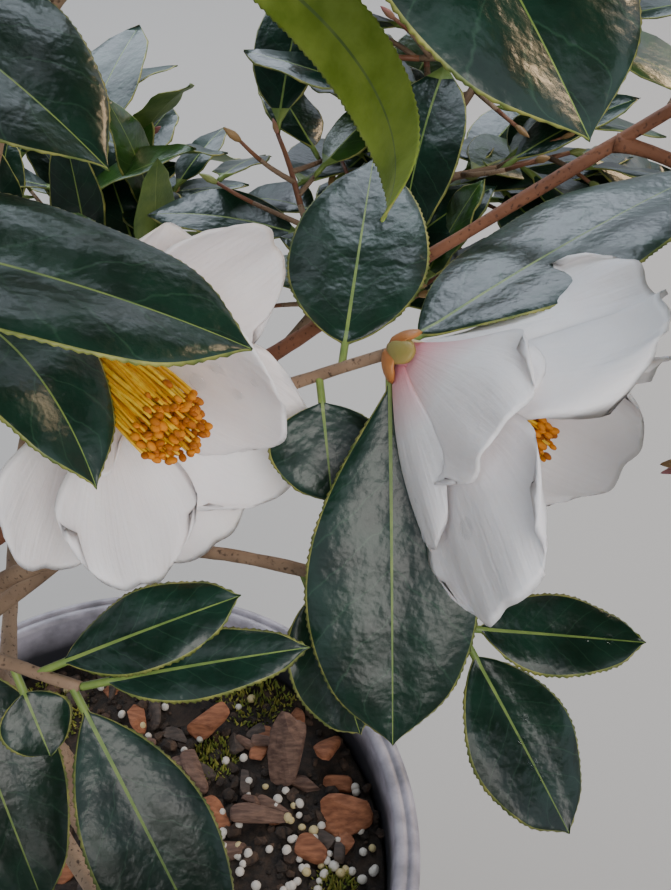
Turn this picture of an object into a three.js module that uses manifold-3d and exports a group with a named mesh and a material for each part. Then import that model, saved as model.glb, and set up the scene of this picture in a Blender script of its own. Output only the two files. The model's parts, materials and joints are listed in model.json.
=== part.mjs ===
// A young camellia shrub in its plastic nursery pot, in bloom.
// Millimetres, +Z up, origin at the centre of the pot's flat underside.
// The trunk, the boughs and the masses of foliage are separate solids, 0.3 mm clear of each other.

import * as THREE from "three";
import { mergeVertices } from "three/addons/utils/BufferGeometryUtils.js";
import Module from "manifold-3d";

const wasm = await Module();
wasm.setup();

// Driving dimensions
const POT_HEIGHT = 215;
const POT_FOOT_RADIUS = 88;
const POT_WALL = 2.5;
const POT_TAPER = 15.5;
const LIP_RADIUS = 110;
const LIP_HEIGHT = 13;
const DRAIN_HOLES = 6;
const DRAIN_HOLE_WIDTH = 15;
const DRAIN_HOLE_HEIGHT = 8;
const ROUND_SIDES = 32;
const SOIL_TOP = 192;
const CHIP_COUNT = 8;
const SEAT_GAP = 0.3;
const TRUNK_RADIUS = 7.2;
const FLARE_RADIUS = 13;
const FORK_RADIUS = 5.6;
const TRUNK_SIDES = 10;
const TRUNK_STEPS = 9;
const BOUGH_SIDES = 6;
const BOUGH_STEPS = 5;
const LEAF_LENGTH = 62;
const LEAF_SHAPE = 0.46;
const LEAF_THICKNESS = 1.1;
const ROOT_SUNK = 0.5;
const LEAF_FOLD = 3;
const PETAL_THICKNESS = 1.1;
const PETAL_FOLD = 9;
const HUB_BELOW = 4;
const TWIG_RADIUS = 1.15;
const TWIG_TIP_RADIUS = 0.8;
const NODE_SPACING = 13;
const GOLDEN_ANGLE = 137.5;
const LEAF_APART = 5;
const BLOOM_APART = 2;
const MASSES_APART = 8;
const LIMB_APART = 3;
const LOWEST_LEAF = 236;
const ROOT_ZONE = 15;
const LEAF_ATTEMPTS = 4;
const UP = new THREE.Vector3(0, 0, 1);

const at = (x, y, z) => new THREE.Vector3(x, y, z);
const radians = THREE.MathUtils.degToRad;
const mix = THREE.MathUtils.lerp;

// The trunk leans to the left from the middle of the pot, and forks at about half its height.
const TRUNK = new THREE.QuadraticBezierCurve3(at(0, 0, SOIL_TOP + SEAT_GAP), at(-6, 3, 240), at(-24, 8, 300));

// Each limb starts on its parent, at a share of the parent's length, and runs over a bend to its tip.
// From the share `enters` on it is the stem of its mass of foliage: before that it is a bare bough.
// `reach` is how far the side twigs stand out, `twigs` their number and `seed` starts their rule.
const LIMBS = [
  { name: "leader", parent: "trunk", share: 1, bend: at(-40, 14, 400), tip: at(0, 22, 600),
    enters: 0.6, radii: [5.2, 3], reach: 70, twigs: 11, seed: 11, bloomFrom: 8 },
  { name: "right_middle", parent: "leader", share: 0.25, bend: at(24, 24, 382), tip: at(92, -6, 431),
    enters: 0.7, radii: [2.6, 1.7], reach: 0, twigs: 0, seed: 12 },
  { name: "right_low", parent: "leader", share: 0.124, bend: at(30, -8, 403), tip: at(106, -36, 381),
    enters: 0.66, radii: [2.6, 1.5], reach: 0, twigs: 0, seed: 13 },
  { name: "front_low", parent: "leader", share: 0.05, bend: at(-15, -40, 392), tip: at(30, -51, 383),
    enters: 0.6, radii: [2.6, 1.5], reach: 0, twigs: 0, seed: 14 },
  { name: "front_middle", parent: "leader", share: 0.41, bend: at(-20, 6, 444), tip: at(29, 0, 427),
    enters: 0.5, radii: [2.4, 1.5], reach: 0, twigs: 0, seed: 15 },
  { name: "front_high", parent: "leader", share: 0.44, bend: at(-50, -40, 450), tip: at(26, -52, 528),
    enters: 0.6, radii: [2.4, 1.6], reach: 52, twigs: 7, seed: 16 },
  { name: "right_high", parent: "leader", share: 0.19, bend: at(53, 31, 399), tip: at(191, 33, 493),
    enters: 0.83, radii: [2.1, 1.4], reach: 62, twigs: 8, seed: 17, bloomFrom: 5 },
  { name: "right_side", parent: "right_high", share: 0.8, bend: at(176, 20, 456), tip: at(190, -52, 402),
    enters: 0.4, radii: [1.4, 1.2], reach: 54, twigs: 8, seed: 18, bloomFrom: 5 },
  { name: "upper_right", parent: "leader", share: 0.54, bend: at(40, 40, 496), tip: at(118, -8, 575),
    enters: 0.5, radii: [2.4, 1.6], reach: 60, twigs: 9, seed: 19 },
  { name: "left_high", parent: "leader", share: 0.47, bend: at(-92, 14, 455), tip: at(-128, -14, 556),
    enters: 0.5, radii: [2.5, 1.6], reach: 64, twigs: 9, seed: 20, bloomFrom: 8 },
  { name: "left_low", parent: "leader", share: 0.27, bend: at(-100, -10, 370), tip: at(-152, -32, 446),
    enters: 0.5, radii: [2.8, 1.7], reach: 62, twigs: 9, seed: 21, bloomFrom: 7 },
  { name: "front_left", parent: "leader", share: 0.16, bend: at(-62, -64, 345), tip: at(-84, -118, 428),
    enters: 0.5, radii: [2.8, 1.7], reach: 60, twigs: 10, seed: 22, bloomFrom: 8 },
  { name: "front_right", parent: "trunk", share: 0.95, bend: at(36, -100, 288), tip: at(122, -126, 400),
    enters: 0.6, radii: [2.8, 1.7], reach: 56, twigs: 9, seed: 23, bloomFrom: 7 },
  { name: "back_left", parent: "leader", share: 0.3, bend: at(-82, 84, 400), tip: at(-108, 122, 506),
    enters: 0.5, radii: [2.8, 1.7], reach: 62, twigs: 9, seed: 24, bloomFrom: 7 },
  { name: "back_high", parent: "leader", share: 0.36, bend: at(0, 84, 430), tip: at(18, 128, 545),
    enters: 0.5, radii: [2.7, 1.7], reach: 62, twigs: 10, seed: 25 },
  { name: "back_right", parent: "leader", share: 0.1, bend: at(70, 82, 350), tip: at(132, 128, 452),
    enters: 0.5, radii: [2.8, 1.7], reach: 62, twigs: 10, seed: 26, bloomFrom: 6 },
  { name: "back_low", parent: "trunk", share: 0.9, bend: at(-35, 92, 318), tip: at(-14, 160, 388),
    enters: 0.5, radii: [2.8, 1.7], reach: 60, twigs: 9, seed: 27 },
];

// The leaves that show best, each placed by hand: share of the limb's length where its stalk leaves,
// heading, rise and roll of the blade in degrees, length and width, then curl and sideways bend.
const KNOWN_LEAVES = {
  right_middle: [
    [0.92, 82, 21, 0, 59, 32, 6, 0],
    [0.99, -89, -48, 0, 79, 36, 10, 0],
    [1, 36, 10, -10, 96, 38, 10, 0],
    [0.885, -82, -40, 0, 27, 25, 10, 0],
  ],
  right_low: [
    [0.775, -57, -52, 0, 40, 23, 10, 0],
    [0.99, 0, -7, 25, 42, 18, 4, 0],
    [1, -55, -34, 0, 46, 26, 6, 0],
  ],
  front_low: [
    [0.9, 13, 18, 25, 43, 17, 12, 0],
    [1, 4, 12, 25, 46, 14, 16, 0],
    [0.98, -53, -38, 0, 66, 26, 10, 0],
    [0.47, -60, -42, 0, 64, 31, 10, 0],
    [0.83, -58, -44, 0, 20, 15, 10, 0],
  ],
  front_middle: [
    [0.52, -36, 18, -16, 71, 32, 100, 0],
  ],
  front_high: [
    [0.65, -6, -4, 0, 86, 34, 28, 0],
  ],
  leader: [
    [0.73, -30, -10, 0, 77, 40, 36, 0],
  ],
  upper_right: [
    [0.52, -6, -33, -94, 88, 15, 134, -26],
    [0.72, -54, -29, 0, 78, 46, 20, 0],
  ],
};

// Blooms placed by hand at the tip of their limb: heading and rise of the axis, length of the bunch of
// stamens, then each petal's place round the axis, its opening at root and tip, length and width.
const KNOWN_BLOOMS = {
  front_middle: { heading: -47, rise: -3, stamens: 33, petals: [
    [89, 42, -2, 48, 44], [48, 55, 100, 33, 42], [67, 60, 82, 45, 38], [222, 50, 78, 46, 40],
    [208, 36, 47, 50, 35], [170, 42, 60, 51, 42], [133, 40, 50, 52, 40],
  ] },
  right_middle: { heading: -22, rise: -23, stamens: 33, petals: [
    [14, 32, 52, 52, 46], [35, 40, 52, 50, 36], [240, 62, 36, 40, 28], [271, 42, 54, 58, 40],
    [146, 30, 46, 56, 42], [106, 4, 16, 55, 42], [322, 34, 50, 33, 32], [294, 24, 38, 27, 26],
  ] },
};

// The crown is open at the front right: nothing stands in a wedge that widens from this point, down
// to the pot, and as far as OPENING_DEPTH in its upper half.
const OPENING_POINT = at(80, -158, 543);
const OPENING_PITCH = 42;
const OPENING_HALF_WIDTH = 0.37;
const OPENING_HALF_HEIGHT = 0.5;
const OPENING_DEPTH = 265;
const OPENING_CLEARANCE = 55;

// Colours, roughness and metalness
const paint = (color, roughness) => new THREE.MeshStandardMaterial({ color, roughness, metalness: 0 });
const POT_PLASTIC = paint(0x4a4a50, 0.6);
const SOIL = paint(0x3a2c22, 0.95);
const BARK = paint(0x8a6c50, 0.85);
const FOLIAGE = paint(0x1f3a24, 0.3);

// Manifold solids from three.js geometry, and back

function solid(geometry) {
  const bare = geometry.clone();
  bare.deleteAttribute("normal");
  bare.deleteAttribute("uv");
  const merged = mergeVertices(bare, 1e-5);
  const vertProperties = new Float32Array(merged.attributes.position.array);
  const triVerts = new Uint32Array(merged.index.array);
  return new wasm.Manifold(new wasm.Mesh({ numProp: 3, vertProperties, triVerts }));
}

function joined(solids) {
  return wasm.Manifold.union(solids);
}

// The main body of a solid: loose scraps go, and a hollow that the fusing sealed is filled.
function mainBody(shape) {
  const bodies = shape.decompose();
  return bodies.reduce((best, body) => (body.volume() > best.volume() ? body : best));
}

function meshOf(name, shape, material) {
  const { vertProperties, triVerts, numProp } = mainBody(shape).getMesh();
  const geometry = new THREE.BufferGeometry();
  const positions = new Float32Array((vertProperties.length / numProp) * 3);
  for (let i = 0; i < positions.length / 3; i += 1) {
    positions.set(vertProperties.subarray(i * numProp, i * numProp + 3), i * 3);
  }
  geometry.setAttribute("position", new THREE.BufferAttribute(positions, 3));
  geometry.setIndex(new THREE.BufferAttribute(new Uint32Array(triVerts), 1));
  const mesh = new THREE.Mesh(geometry, material);
  mesh.name = name;
  return mesh;
}

// Moves every vertex of a geometry to where `place` puts it.
function bent(geometry, place) {
  const positions = geometry.attributes.position;
  for (let i = 0; i < positions.count; i += 1) {
    const moved = place(at(positions.getX(i), positions.getY(i), positions.getZ(i)));
    positions.setXYZ(i, moved.x, moved.y, moved.z);
  }
  return solid(geometry);
}

// Pseudo-random numbers from 0 to 1, the same in every run

function randomFrom(seed) {
  let state = seed * 7919 + 17;
  return () => {
    state = (state * 16807) % 2147483647;
    return state / 2147483647;
  };
}

// Directions

function aim(heading, rise) {
  const h = radians(heading);
  const r = radians(rise);
  return at(Math.cos(h) * Math.cos(r), Math.sin(h) * Math.cos(r), Math.sin(r));
}

const headingOf = (v) => THREE.MathUtils.radToDeg(Math.atan2(v.y, v.x));
const riseOf = (v) => THREE.MathUtils.radToDeg(Math.asin(v.z / v.length()));

// Limbs

// The part of a curve with one bend between two shares of its length
function partOf(curve, from, to) {
  const start = curve.getPoint(from);
  const end = curve.getPoint(to);
  const bend = start.clone().addScaledVector(curveSlope(curve, from), (to - from) / 2);
  return new THREE.QuadraticBezierCurve3(start, bend, end);
}

function curveSlope(curve, t) {
  const first = curve.v1.clone().sub(curve.v0);
  const second = curve.v2.clone().sub(curve.v1);
  return first.lerp(second, t).multiplyScalar(2);
}

// A round tapering limb along a curve, with a flat end across each end of the curve
function limb(curve, startRadius, endRadius, sides, steps, flare = 0) {
  const geometry = new THREE.CylinderGeometry(1, 1, 1, sides, steps);
  const across = Math.abs(curveSlope(curve, 0.5).normalize().z) > 0.7 ? at(1, 0, 0) : UP;
  return bent(geometry, (p) => {
    const t = p.y + 0.5;
    const along = curveSlope(curve, t).normalize();
    if (flare > 0 && t < 0.01) along.copy(UP);
    const side = across.clone().addScaledVector(along, -across.dot(along)).normalize();
    const third = along.clone().cross(side);
    const radius = mix(startRadius, endRadius, t) + flare * (1 - t) ** 12;
    return curve.getPoint(t).addScaledVector(third, p.x * radius).addScaledVector(side, p.z * radius);
  });
}

// Points along a curve with the limb's radius there, for keeping twigs and leaves clear of it
function trace(curve, startRadius, endRadius, step = 5) {
  const count = Math.max(2, Math.ceil(curve.getLength() / step));
  return Array.from({ length: count + 1 }, (_, i) => ({
    point: curve.getPoint(i / count),
    radius: mix(startRadius, endRadius, i / count),
  }));
}

// Leaves and petals

// Shares of a blade's length and of its width where its rings stand
const LEAF_STATIONS = [[0.24, 0.76], [0.68, 0.92]];
const KNOWN_LEAF_STATIONS = [[0.2, 0.68], [0.52, 1], [0.82, 0.62]];
const PETAL_STATIONS = [[0.42, 0.8], [0.88, 0.9]];
const KNOWN_PETAL_STATIONS = [[0.3, 0.62], [0.68, 1], [0.93, 0.72]];

// A thin blade on a bent midrib. A ball of three sides and as many rings as stations is drawn out:
// its two poles are the blade's root and tip, and each ring is its two edges and its keel.
function blade(spine, stations, width, thickness) {
  const rings = stations.length + 1;
  const geometry = new THREE.SphereGeometry(1, 3, rings);
  return bent(geometry, (p) => {
    const ring = Math.round((1 - Math.acos(THREE.MathUtils.clamp(p.y, -1, 1)) / Math.PI) * rings);
    if (ring === 0) return spine(0).point;
    if (ring === rings) return spine(1).point;
    const [t, share] = stations[ring - 1];
    const { point, side, normal, fold } = spine(t);
    if (p.x < 0) return point.addScaledVector(normal, -thickness);
    const half = (Math.sign(-p.z) * width * share) / 2;
    point.addScaledVector(side, half * Math.cos(fold));
    return point.addScaledVector(normal, Math.abs(half) * Math.sin(fold));
  });
}

// A leaf's midrib: it leaves its root at a heading and rise, curls down and bends aside as it goes.
function leafSpine(root, heading, rise, roll, length, curl, bend) {
  const axis = aim(heading, rise);
  const side = axis.clone().cross(UP).normalize();
  const normal = side.clone().cross(axis);
  side.applyAxisAngle(axis, radians(roll));
  normal.applyAxisAngle(axis, radians(roll));
  const slopeAt = (t) => {
    const a = radians(curl * (t - 0.25));
    const b = radians(bend * (t - 0.3));
    return axis.clone().multiplyScalar(Math.cos(a) * Math.cos(b))
      .addScaledVector(normal, -Math.sin(a)).addScaledVector(side, Math.sin(b));
  };
  const steps = 12;
  return (t) => {
    const point = root.clone();
    for (let i = 0; i < steps; i += 1) {
      point.addScaledVector(slopeAt((t * (i + 0.5)) / steps), (length * t) / steps);
    }
    const a = radians(curl * (t - 0.25));
    const lifted = normal.clone().multiplyScalar(Math.cos(a)).addScaledVector(axis, Math.sin(a)).normalize();
    return { point, side: side.clone(), normal: lifted, fold: radians(LEAF_FOLD) };
  };
}

function leafSolid(root, [heading, rise, roll, length, width, curl, bend], stations = LEAF_STATIONS) {
  const sunk = root.clone().addScaledVector(aim(heading, rise), -ROOT_SUNK);
  const spine = leafSpine(sunk, heading, rise, roll, length + ROOT_SUNK, curl, bend);
  return blade(spine, stations, width, LEAF_THICKNESS);
}

// Points spread over a leaf, for keeping leaves apart
function leafPoints(root, [heading, rise, roll, length, width, curl, bend]) {
  const spine = leafSpine(root, heading, rise, roll, length, curl, bend);
  const points = [0.16, 0.36, 0.58, 0.8, 1].map((t) => spine(t).point);
  for (const [t, share] of LEAF_STATIONS) {
    for (const turn of [-1, 1]) {
      const { point, side, normal, fold: lift } = spine(t);
      const half = (width * share) / 2;
      points.push(point.addScaledVector(side, turn * half * Math.cos(lift))
        .addScaledVector(normal, half * Math.sin(lift)));
    }
  }
  return points;
}

// A petal's midrib starts beside the bloom's axis and opens away from it
function petalSpine(base, axis, around, openRoot, openTip, length) {
  const upright = UP.clone().addScaledVector(axis, -UP.dot(axis)).normalize();
  const outward = upright.applyAxisAngle(axis, radians(-around));
  const side = outward.clone().cross(axis);
  const slopeAt = (t) => {
    const open = radians(mix(openRoot, openTip, t));
    return axis.clone().multiplyScalar(Math.cos(open)).addScaledVector(outward, Math.sin(open));
  };
  const steps = 12;
  return (t) => {
    const point = base.clone().addScaledVector(outward, 1);
    for (let i = 0; i < steps; i += 1) {
      point.addScaledVector(slopeAt((t * (i + 0.5)) / steps), (length * t) / steps);
    }
    return { point, side: side.clone(), normal: side.clone().cross(slopeAt(t)), fold: radians(PETAL_FOLD) };
  };
}

// A bloom is its petals round a hub that widens into the bunch of stamens
function bloomSolids(base, { heading, rise, stamens, petals }, stations = PETAL_STATIONS) {
  const axis = aim(heading, rise);
  const turned = new THREE.Quaternion().setFromUnitVectors(at(0, 1, 0), axis);
  const hub = new THREE.CylinderGeometry(8, 4.5, stamens + HUB_BELOW, 5).applyQuaternion(turned);
  const middle = base.clone().addScaledVector(axis, (stamens - HUB_BELOW) / 2);
  const parts = [solid(hub.translate(middle.x, middle.y, middle.z))];
  for (const [around, openRoot, openTip, length, width] of petals) {
    const spine = petalSpine(base, axis, around, openRoot, openTip, length);
    parts.push(blade(spine, stations, width, PETAL_THICKNESS));
  }
  return parts;
}

function bloomPoints(base, { heading, rise, petals }) {
  return petals.flatMap(([around, openRoot, openTip, length]) => {
    const spine = petalSpine(base, aim(heading, rise), around, openRoot, openTip, length);
    return [0.4, 0.7, 1].map((t) => spine(t).point);
  });
}

// An open bloom of four broad petals
function commonBloom(heading, rise, next) {
  const petals = Array.from({ length: 4 }, (_, i) => {
    const open = mix(44, 60, next());
    return [i * 90 + 16 * next(), open - 14, open + 20, mix(38, 44, next()), mix(34, 40, next())];
  });
  return { heading, rise, stamens: 20, petals };
}

// The pot and what fills it

function lathe(profile) {
  const points = profile.map(([radius, height]) => new THREE.Vector2(radius, height));
  return solid(new THREE.LatheGeometry(points, ROUND_SIDES).rotateX(Math.PI / 2));
}

const wallRadius = (z) => POT_FOOT_RADIUS + (POT_TAPER * z) / POT_HEIGHT;

function nurseryPot() {
  const lipBottom = POT_HEIGHT - LIP_HEIGHT;
  const innerTop = wallRadius(POT_HEIGHT) - POT_WALL;
  const shell = lathe([
    [0, 0],
    [POT_FOOT_RADIUS, 0],
    [wallRadius(lipBottom), lipBottom],
    [LIP_RADIUS, lipBottom + 3],
    [LIP_RADIUS, POT_HEIGHT - 2],
    [LIP_RADIUS - 2, POT_HEIGHT],
    [innerTop + 1.5, POT_HEIGHT],
    [innerTop, POT_HEIGHT - 2],
    [wallRadius(POT_WALL) - POT_WALL, POT_WALL],
    [0, POT_WALL],
  ]);
  const holes = Array.from({ length: DRAIN_HOLES }, (_, i) => {
    const hole = new THREE.BoxGeometry(DRAIN_HOLE_WIDTH, DRAIN_HOLE_WIDTH, DRAIN_HOLE_HEIGHT);
    hole.translate(POT_FOOT_RADIUS, 0, POT_WALL + DRAIN_HOLE_HEIGHT);
    hole.rotateZ(((i + 0.5) * (2 * Math.PI)) / DRAIN_HOLES);
    return solid(hole);
  });
  return shell.subtract(joined(holes));
}

function pottingSoil() {
  const floor = POT_WALL + SEAT_GAP;
  const clear = POT_WALL + SEAT_GAP + 0.2;
  const ground = lathe([
    [0, floor],
    [wallRadius(floor) - clear, floor],
    [wallRadius(SOIL_TOP) - clear, SOIL_TOP - 3],
    [wallRadius(SOIL_TOP) - clear - 14, SOIL_TOP - 1],
    [30, SOIL_TOP],
    [0, SOIL_TOP],
  ]);
  const next = randomFrom(5);
  const chips = Array.from({ length: CHIP_COUNT }, (_, i) => {
    const size = [mix(12, 26, next()), mix(8, 15, next()), mix(3, 6, next())];
    const chip = new THREE.BoxGeometry(...size);
    chip.rotateX(mix(-0.5, 0.5, next())).rotateY(mix(-0.5, 0.5, next()));
    const radius = mix(30, 84, next());
    const turn = radians(i * GOLDEN_ANGLE);
    chip.rotateZ(turn + 3 * next());
    chip.translate(radius * Math.cos(turn), radius * Math.sin(turn), SOIL_TOP + 0.5);
    return solid(chip);
  });
  return joined([ground, ...chips]);
}

// The crown

const opening = {
  forward: aim(90, -OPENING_PITCH),
  up: aim(90, 90 - OPENING_PITCH),
};

function inOpening(point) {
  const away = point.clone().sub(OPENING_POINT);
  if (away.length() < OPENING_CLEARANCE) return true;
  const depth = away.dot(opening.forward);
  if (depth <= 0) return false;
  const upward = away.dot(opening.up) / depth;
  if (Math.abs(away.x / depth) > OPENING_HALF_WIDTH || Math.abs(upward) > OPENING_HALF_HEIGHT) return false;
  return depth < OPENING_DEPTH || upward < 0.12;
}

const curves = { trunk: TRUNK };
for (const row of LIMBS) {
  const root = curves[row.parent].getPoint(row.share);
  curves[row.name] = new THREE.QuadraticBezierCurve3(root, row.bend, row.tip);
}

// What stands already, for keeping new twigs and leaves clear of it: points with a mass's name
const limbTraces = trace(TRUNK, TRUNK_RADIUS, FORK_RADIUS);
const stemTraces = [];
for (const row of LIMBS) {
  const [thick, thin] = row.radii;
  limbTraces.push(...trace(partOf(curves[row.name], 0, row.enters), thick, thin));
  const stem = trace(partOf(curves[row.name], row.enters, 1), thin, TWIG_RADIUS, 8);
  stemTraces.push(...stem.map(({ point }) => ({ point, mass: row.name })));
}
const standing = [];

function nearestMass(point) {
  let best = Infinity;
  let name = "";
  for (const stem of stemTraces) {
    const distance = stem.point.distanceToSquared(point);
    if (distance < best) {
      best = distance;
      name = stem.mass;
    }
  }
  return name;
}

// Whether a new twig, leaf or bloom of a mass may stand where these points are
function isFree(points, mass, root, ownApart = LEAF_APART) {
  for (const point of points) {
    if (point.z < LOWEST_LEAF || inOpening(point)) return false;
    if (nearestMass(point) !== mass) return false;
    const fromRoot = point.distanceTo(root);
    for (const other of limbTraces) {
      if (other.point.distanceTo(point) < other.radius + LIMB_APART) return false;
    }
    for (const other of stemTraces) {
      if (other.mass !== mass && other.point.distanceTo(point) < MASSES_APART) return false;
    }
    for (const other of standing) {
      const apart = other.mass === mass ? ownApart : MASSES_APART;
      const near = other.point.distanceTo(point) < apart;
      if (near && (other.mass !== mass || fromRoot > ROOT_ZONE)) return false;
    }
  }
  return true;
}

function addStanding(points, mass) {
  for (const point of points) standing.push({ point, mass });
}

// What is placed by hand stands before anything grows round it.
for (const row of LIMBS) {
  for (const [share, ...shape] of KNOWN_LEAVES[row.name] ?? []) {
    addStanding(leafPoints(curves[row.name].getPoint(share), shape), row.name);
  }
  const known = KNOWN_BLOOMS[row.name];
  if (known) addStanding(bloomPoints(row.tip, known), row.name);
}

// One leaf at a node of a twig, turned another way where it has no room
function growLeaf(parts, mass, root, heading, rise, next) {
  for (let attempt = 0; attempt < LEAF_ATTEMPTS; attempt += 1) {
    const length = LEAF_LENGTH * mix(0.76, 1.14, next());
    const width = length * LEAF_SHAPE * mix(0.92, 1.1, next());
    const turned = heading + attempt * mix(-40, 40, next());
    const lifted = rise + attempt * mix(-16, 30, next());
    const curl = mix(4, 30, next());
    const shape = [turned, lifted, mix(-16, 16, next()), length, width, curl, mix(-14, 14, next())];
    const points = leafPoints(root, shape);
    if (isFree(points.slice(1), mass, root)) {
      addStanding(points, mass);
      parts.push(leafSolid(root, shape));
      return;
    }
  }
}

// A side twig with its leaves: alternate along it, and one more at its tip
function growTwig(parts, row, root, heading, rise, length, next) {
  const tip = root.clone().addScaledVector(aim(heading, rise), length);
  const curve = new THREE.QuadraticBezierCurve3(root, root.clone().lerp(tip, 0.5), tip);
  const points = trace(curve, TWIG_RADIUS, TWIG_TIP_RADIUS, 6).map(({ point }) => point);
  if (!isFree(points.slice(3), row.name, root)) return null;
  addStanding(points, row.name);
  parts.push(limb(curve, TWIG_RADIUS, TWIG_TIP_RADIUS, 3, 1));
  const nodes = Math.floor(length / NODE_SPACING);
  for (let i = 1; i <= nodes; i += 1) {
    const turn = i === nodes ? mix(-12, 12, next()) : (i % 2 ? 1 : -1) * mix(44, 64, next());
    const leafRise = mix(-30, 20, next()) + rise * 0.35;
    growLeaf(parts, row.name, curve.getPoint(i / nodes), heading + turn, leafRise, next);
  }
  return { tip, heading, rise };
}

// A mass of foliage: its stem, the leaves and bloom placed by hand, and the side twigs a golden
// angle apart with their leaves, the first one that can from `bloomFrom` on with a bloom
function growMass(row) {
  const curve = curves[row.name];
  const stem = partOf(curve, row.enters + SEAT_GAP / curve.getLength(), 1);
  const parts = [limb(stem, row.radii[1] * 0.95, TWIG_RADIUS, 5, 4)];
  const next = randomFrom(row.seed);
  for (const [share, ...shape] of KNOWN_LEAVES[row.name] ?? []) {
    parts.push(leafSolid(curve.getPoint(share), shape, KNOWN_LEAF_STATIONS));
  }
  const known = KNOWN_BLOOMS[row.name];
  if (known) parts.push(...bloomSolids(row.tip, known, KNOWN_PETAL_STATIONS));
  let blooms = 0;
  for (let i = 0; i < row.twigs; i += 1) {
    const share = mix(row.enters + 0.04, 0.98, (i + 0.5) / row.twigs);
    const out = aim(i * GOLDEN_ANGLE + 40 * next(), mix(-22, 50, next()));
    const direction = out.addScaledVector(curveSlope(curve, share).normalize(), 0.4).normalize();
    const length = row.reach * mix(1, 0.62, (i + 0.5) / row.twigs) * mix(0.82, 1.08, next());
    const root = curve.getPoint(share);
    const twig = growTwig(parts, row, root, headingOf(direction), riseOf(direction), length, next);
    if (twig && i >= row.bloomFrom && blooms === 0) {
      const bloom = commonBloom(twig.heading, twig.rise + 15, next);
      const points = bloomPoints(twig.tip, bloom);
      if (isFree(points, row.name, twig.tip, BLOOM_APART)) {
        addStanding(points, row.name);
        parts.push(...bloomSolids(twig.tip, bloom));
        blooms += 1;
      }
    }
  }
  if (row.twigs > 0) {
    const slope = curveSlope(curve, 1);
    for (const [share, turn, leafRise] of [[1, 0, 30], [0.96, 120, 20], [0.92, -120, 10]]) {
      growLeaf(parts, row.name, curve.getPoint(share), headingOf(slope) + turn, leafRise, next);
    }
  }
  return joined(parts);
}

// The bare boughs: each is cut clear of the limbs that are there before it
function growLimbs() {
  const flare = FLARE_RADIUS - TRUNK_RADIUS;
  const trunkBy = (extra) => {
    const [foot, fork] = [TRUNK_RADIUS + extra, FORK_RADIUS + extra];
    return limb(TRUNK, foot, fork, TRUNK_SIDES, TRUNK_STEPS, flare);
  };
  const made = [{ name: "trunk", shape: trunkBy(0) }];
  const grown = [trunkBy(SEAT_GAP)];
  for (const row of LIMBS) {
    const [thick, thin] = row.radii;
    const atEnd = row.share === 1 ? SEAT_GAP / curves[row.name].getLength() : 0;
    const bough = partOf(curves[row.name], atEnd, row.enters);
    const boughBy = (extra) => limb(bough, thick + extra, thin + extra, BOUGH_SIDES, BOUGH_STEPS);
    const shape = boughBy(0).subtract(joined(grown));
    made.push({ name: `bough_${row.name}`, shape: mainBody(shape) });
    grown.push(boughBy(SEAT_GAP));
  }
  return made;
}

const shrub = new THREE.Group();
shrub.add(meshOf("nursery_pot", nurseryPot(), POT_PLASTIC));
shrub.add(meshOf("potting_soil", pottingSoil(), SOIL));
for (const { name, shape } of growLimbs()) {
  shrub.add(meshOf(name, shape, BARK));
}
for (const row of LIMBS) {
  shrub.add(meshOf(`foliage_${row.name}`, growMass(row), FOLIAGE));
}

export default shrub;
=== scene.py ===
import json
import math

import bmesh
import bpy
import numpy as np
from mathutils import Euler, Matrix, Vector, noise

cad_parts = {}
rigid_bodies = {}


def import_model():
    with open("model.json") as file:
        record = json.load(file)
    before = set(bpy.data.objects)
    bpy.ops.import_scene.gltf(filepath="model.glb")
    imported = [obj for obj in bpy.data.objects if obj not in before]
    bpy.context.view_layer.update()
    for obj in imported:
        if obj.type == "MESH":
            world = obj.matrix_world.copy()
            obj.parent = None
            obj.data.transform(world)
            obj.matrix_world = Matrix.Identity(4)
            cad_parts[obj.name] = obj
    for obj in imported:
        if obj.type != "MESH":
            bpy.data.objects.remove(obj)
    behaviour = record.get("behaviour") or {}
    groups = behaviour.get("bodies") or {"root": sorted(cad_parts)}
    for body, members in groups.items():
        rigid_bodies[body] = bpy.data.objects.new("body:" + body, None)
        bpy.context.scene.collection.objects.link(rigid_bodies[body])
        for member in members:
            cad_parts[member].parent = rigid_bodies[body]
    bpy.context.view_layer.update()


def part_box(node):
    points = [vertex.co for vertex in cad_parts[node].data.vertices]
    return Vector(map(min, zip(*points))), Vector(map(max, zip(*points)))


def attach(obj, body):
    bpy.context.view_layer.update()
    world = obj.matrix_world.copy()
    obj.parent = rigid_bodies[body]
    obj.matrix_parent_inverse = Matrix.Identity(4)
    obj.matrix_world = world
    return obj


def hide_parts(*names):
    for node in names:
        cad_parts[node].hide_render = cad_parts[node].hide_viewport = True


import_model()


# The nursery pot
# A seven litre grower's pot of dark polypropylene, injection moulded in one piece: a tapering wall,
# a broad lip with a groove round its top, and drain slots round the foot. It stands on its flat base,
# and the plant is held in it by the soil alone.

MM = 0.001


def linear(colour):
    """An sRGB hex value as linear RGBA."""
    channels = [int(colour[i:i + 2], 16) / 255 for i in (0, 2, 4)]
    return tuple(c / 12.92 if c <= 0.04045 else ((c + 0.055) / 1.055) ** 2.4 for c in channels) + (1.0,)


def add(tree, kind, links=None, **settings):
    """Adds a node. A setting is one of its properties or one of its sockets, a link is socket: source."""
    node = tree.nodes.new(kind)
    for name, value in settings.items():
        if hasattr(node, name):
            setattr(node, name, value)
        else:
            node.inputs[name.replace("_", " ")].default_value = value
    for socket, source in (links or {}).items():
        tree.links.new(source, node.inputs[socket])
    return node


def material(name, colour, **settings):
    """A new material, its node tree and its Principled shader, with these constants set on the shader."""
    made = bpy.data.materials.new(name)
    made.use_nodes = True
    shader = made.node_tree.nodes["Principled BSDF"]
    shader.inputs["Base Color"].default_value = linear(colour)
    for setting, value in settings.items():
        shader.inputs[setting.replace("_", " ")].default_value = value
    return made, made.node_tree, shader


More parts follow.
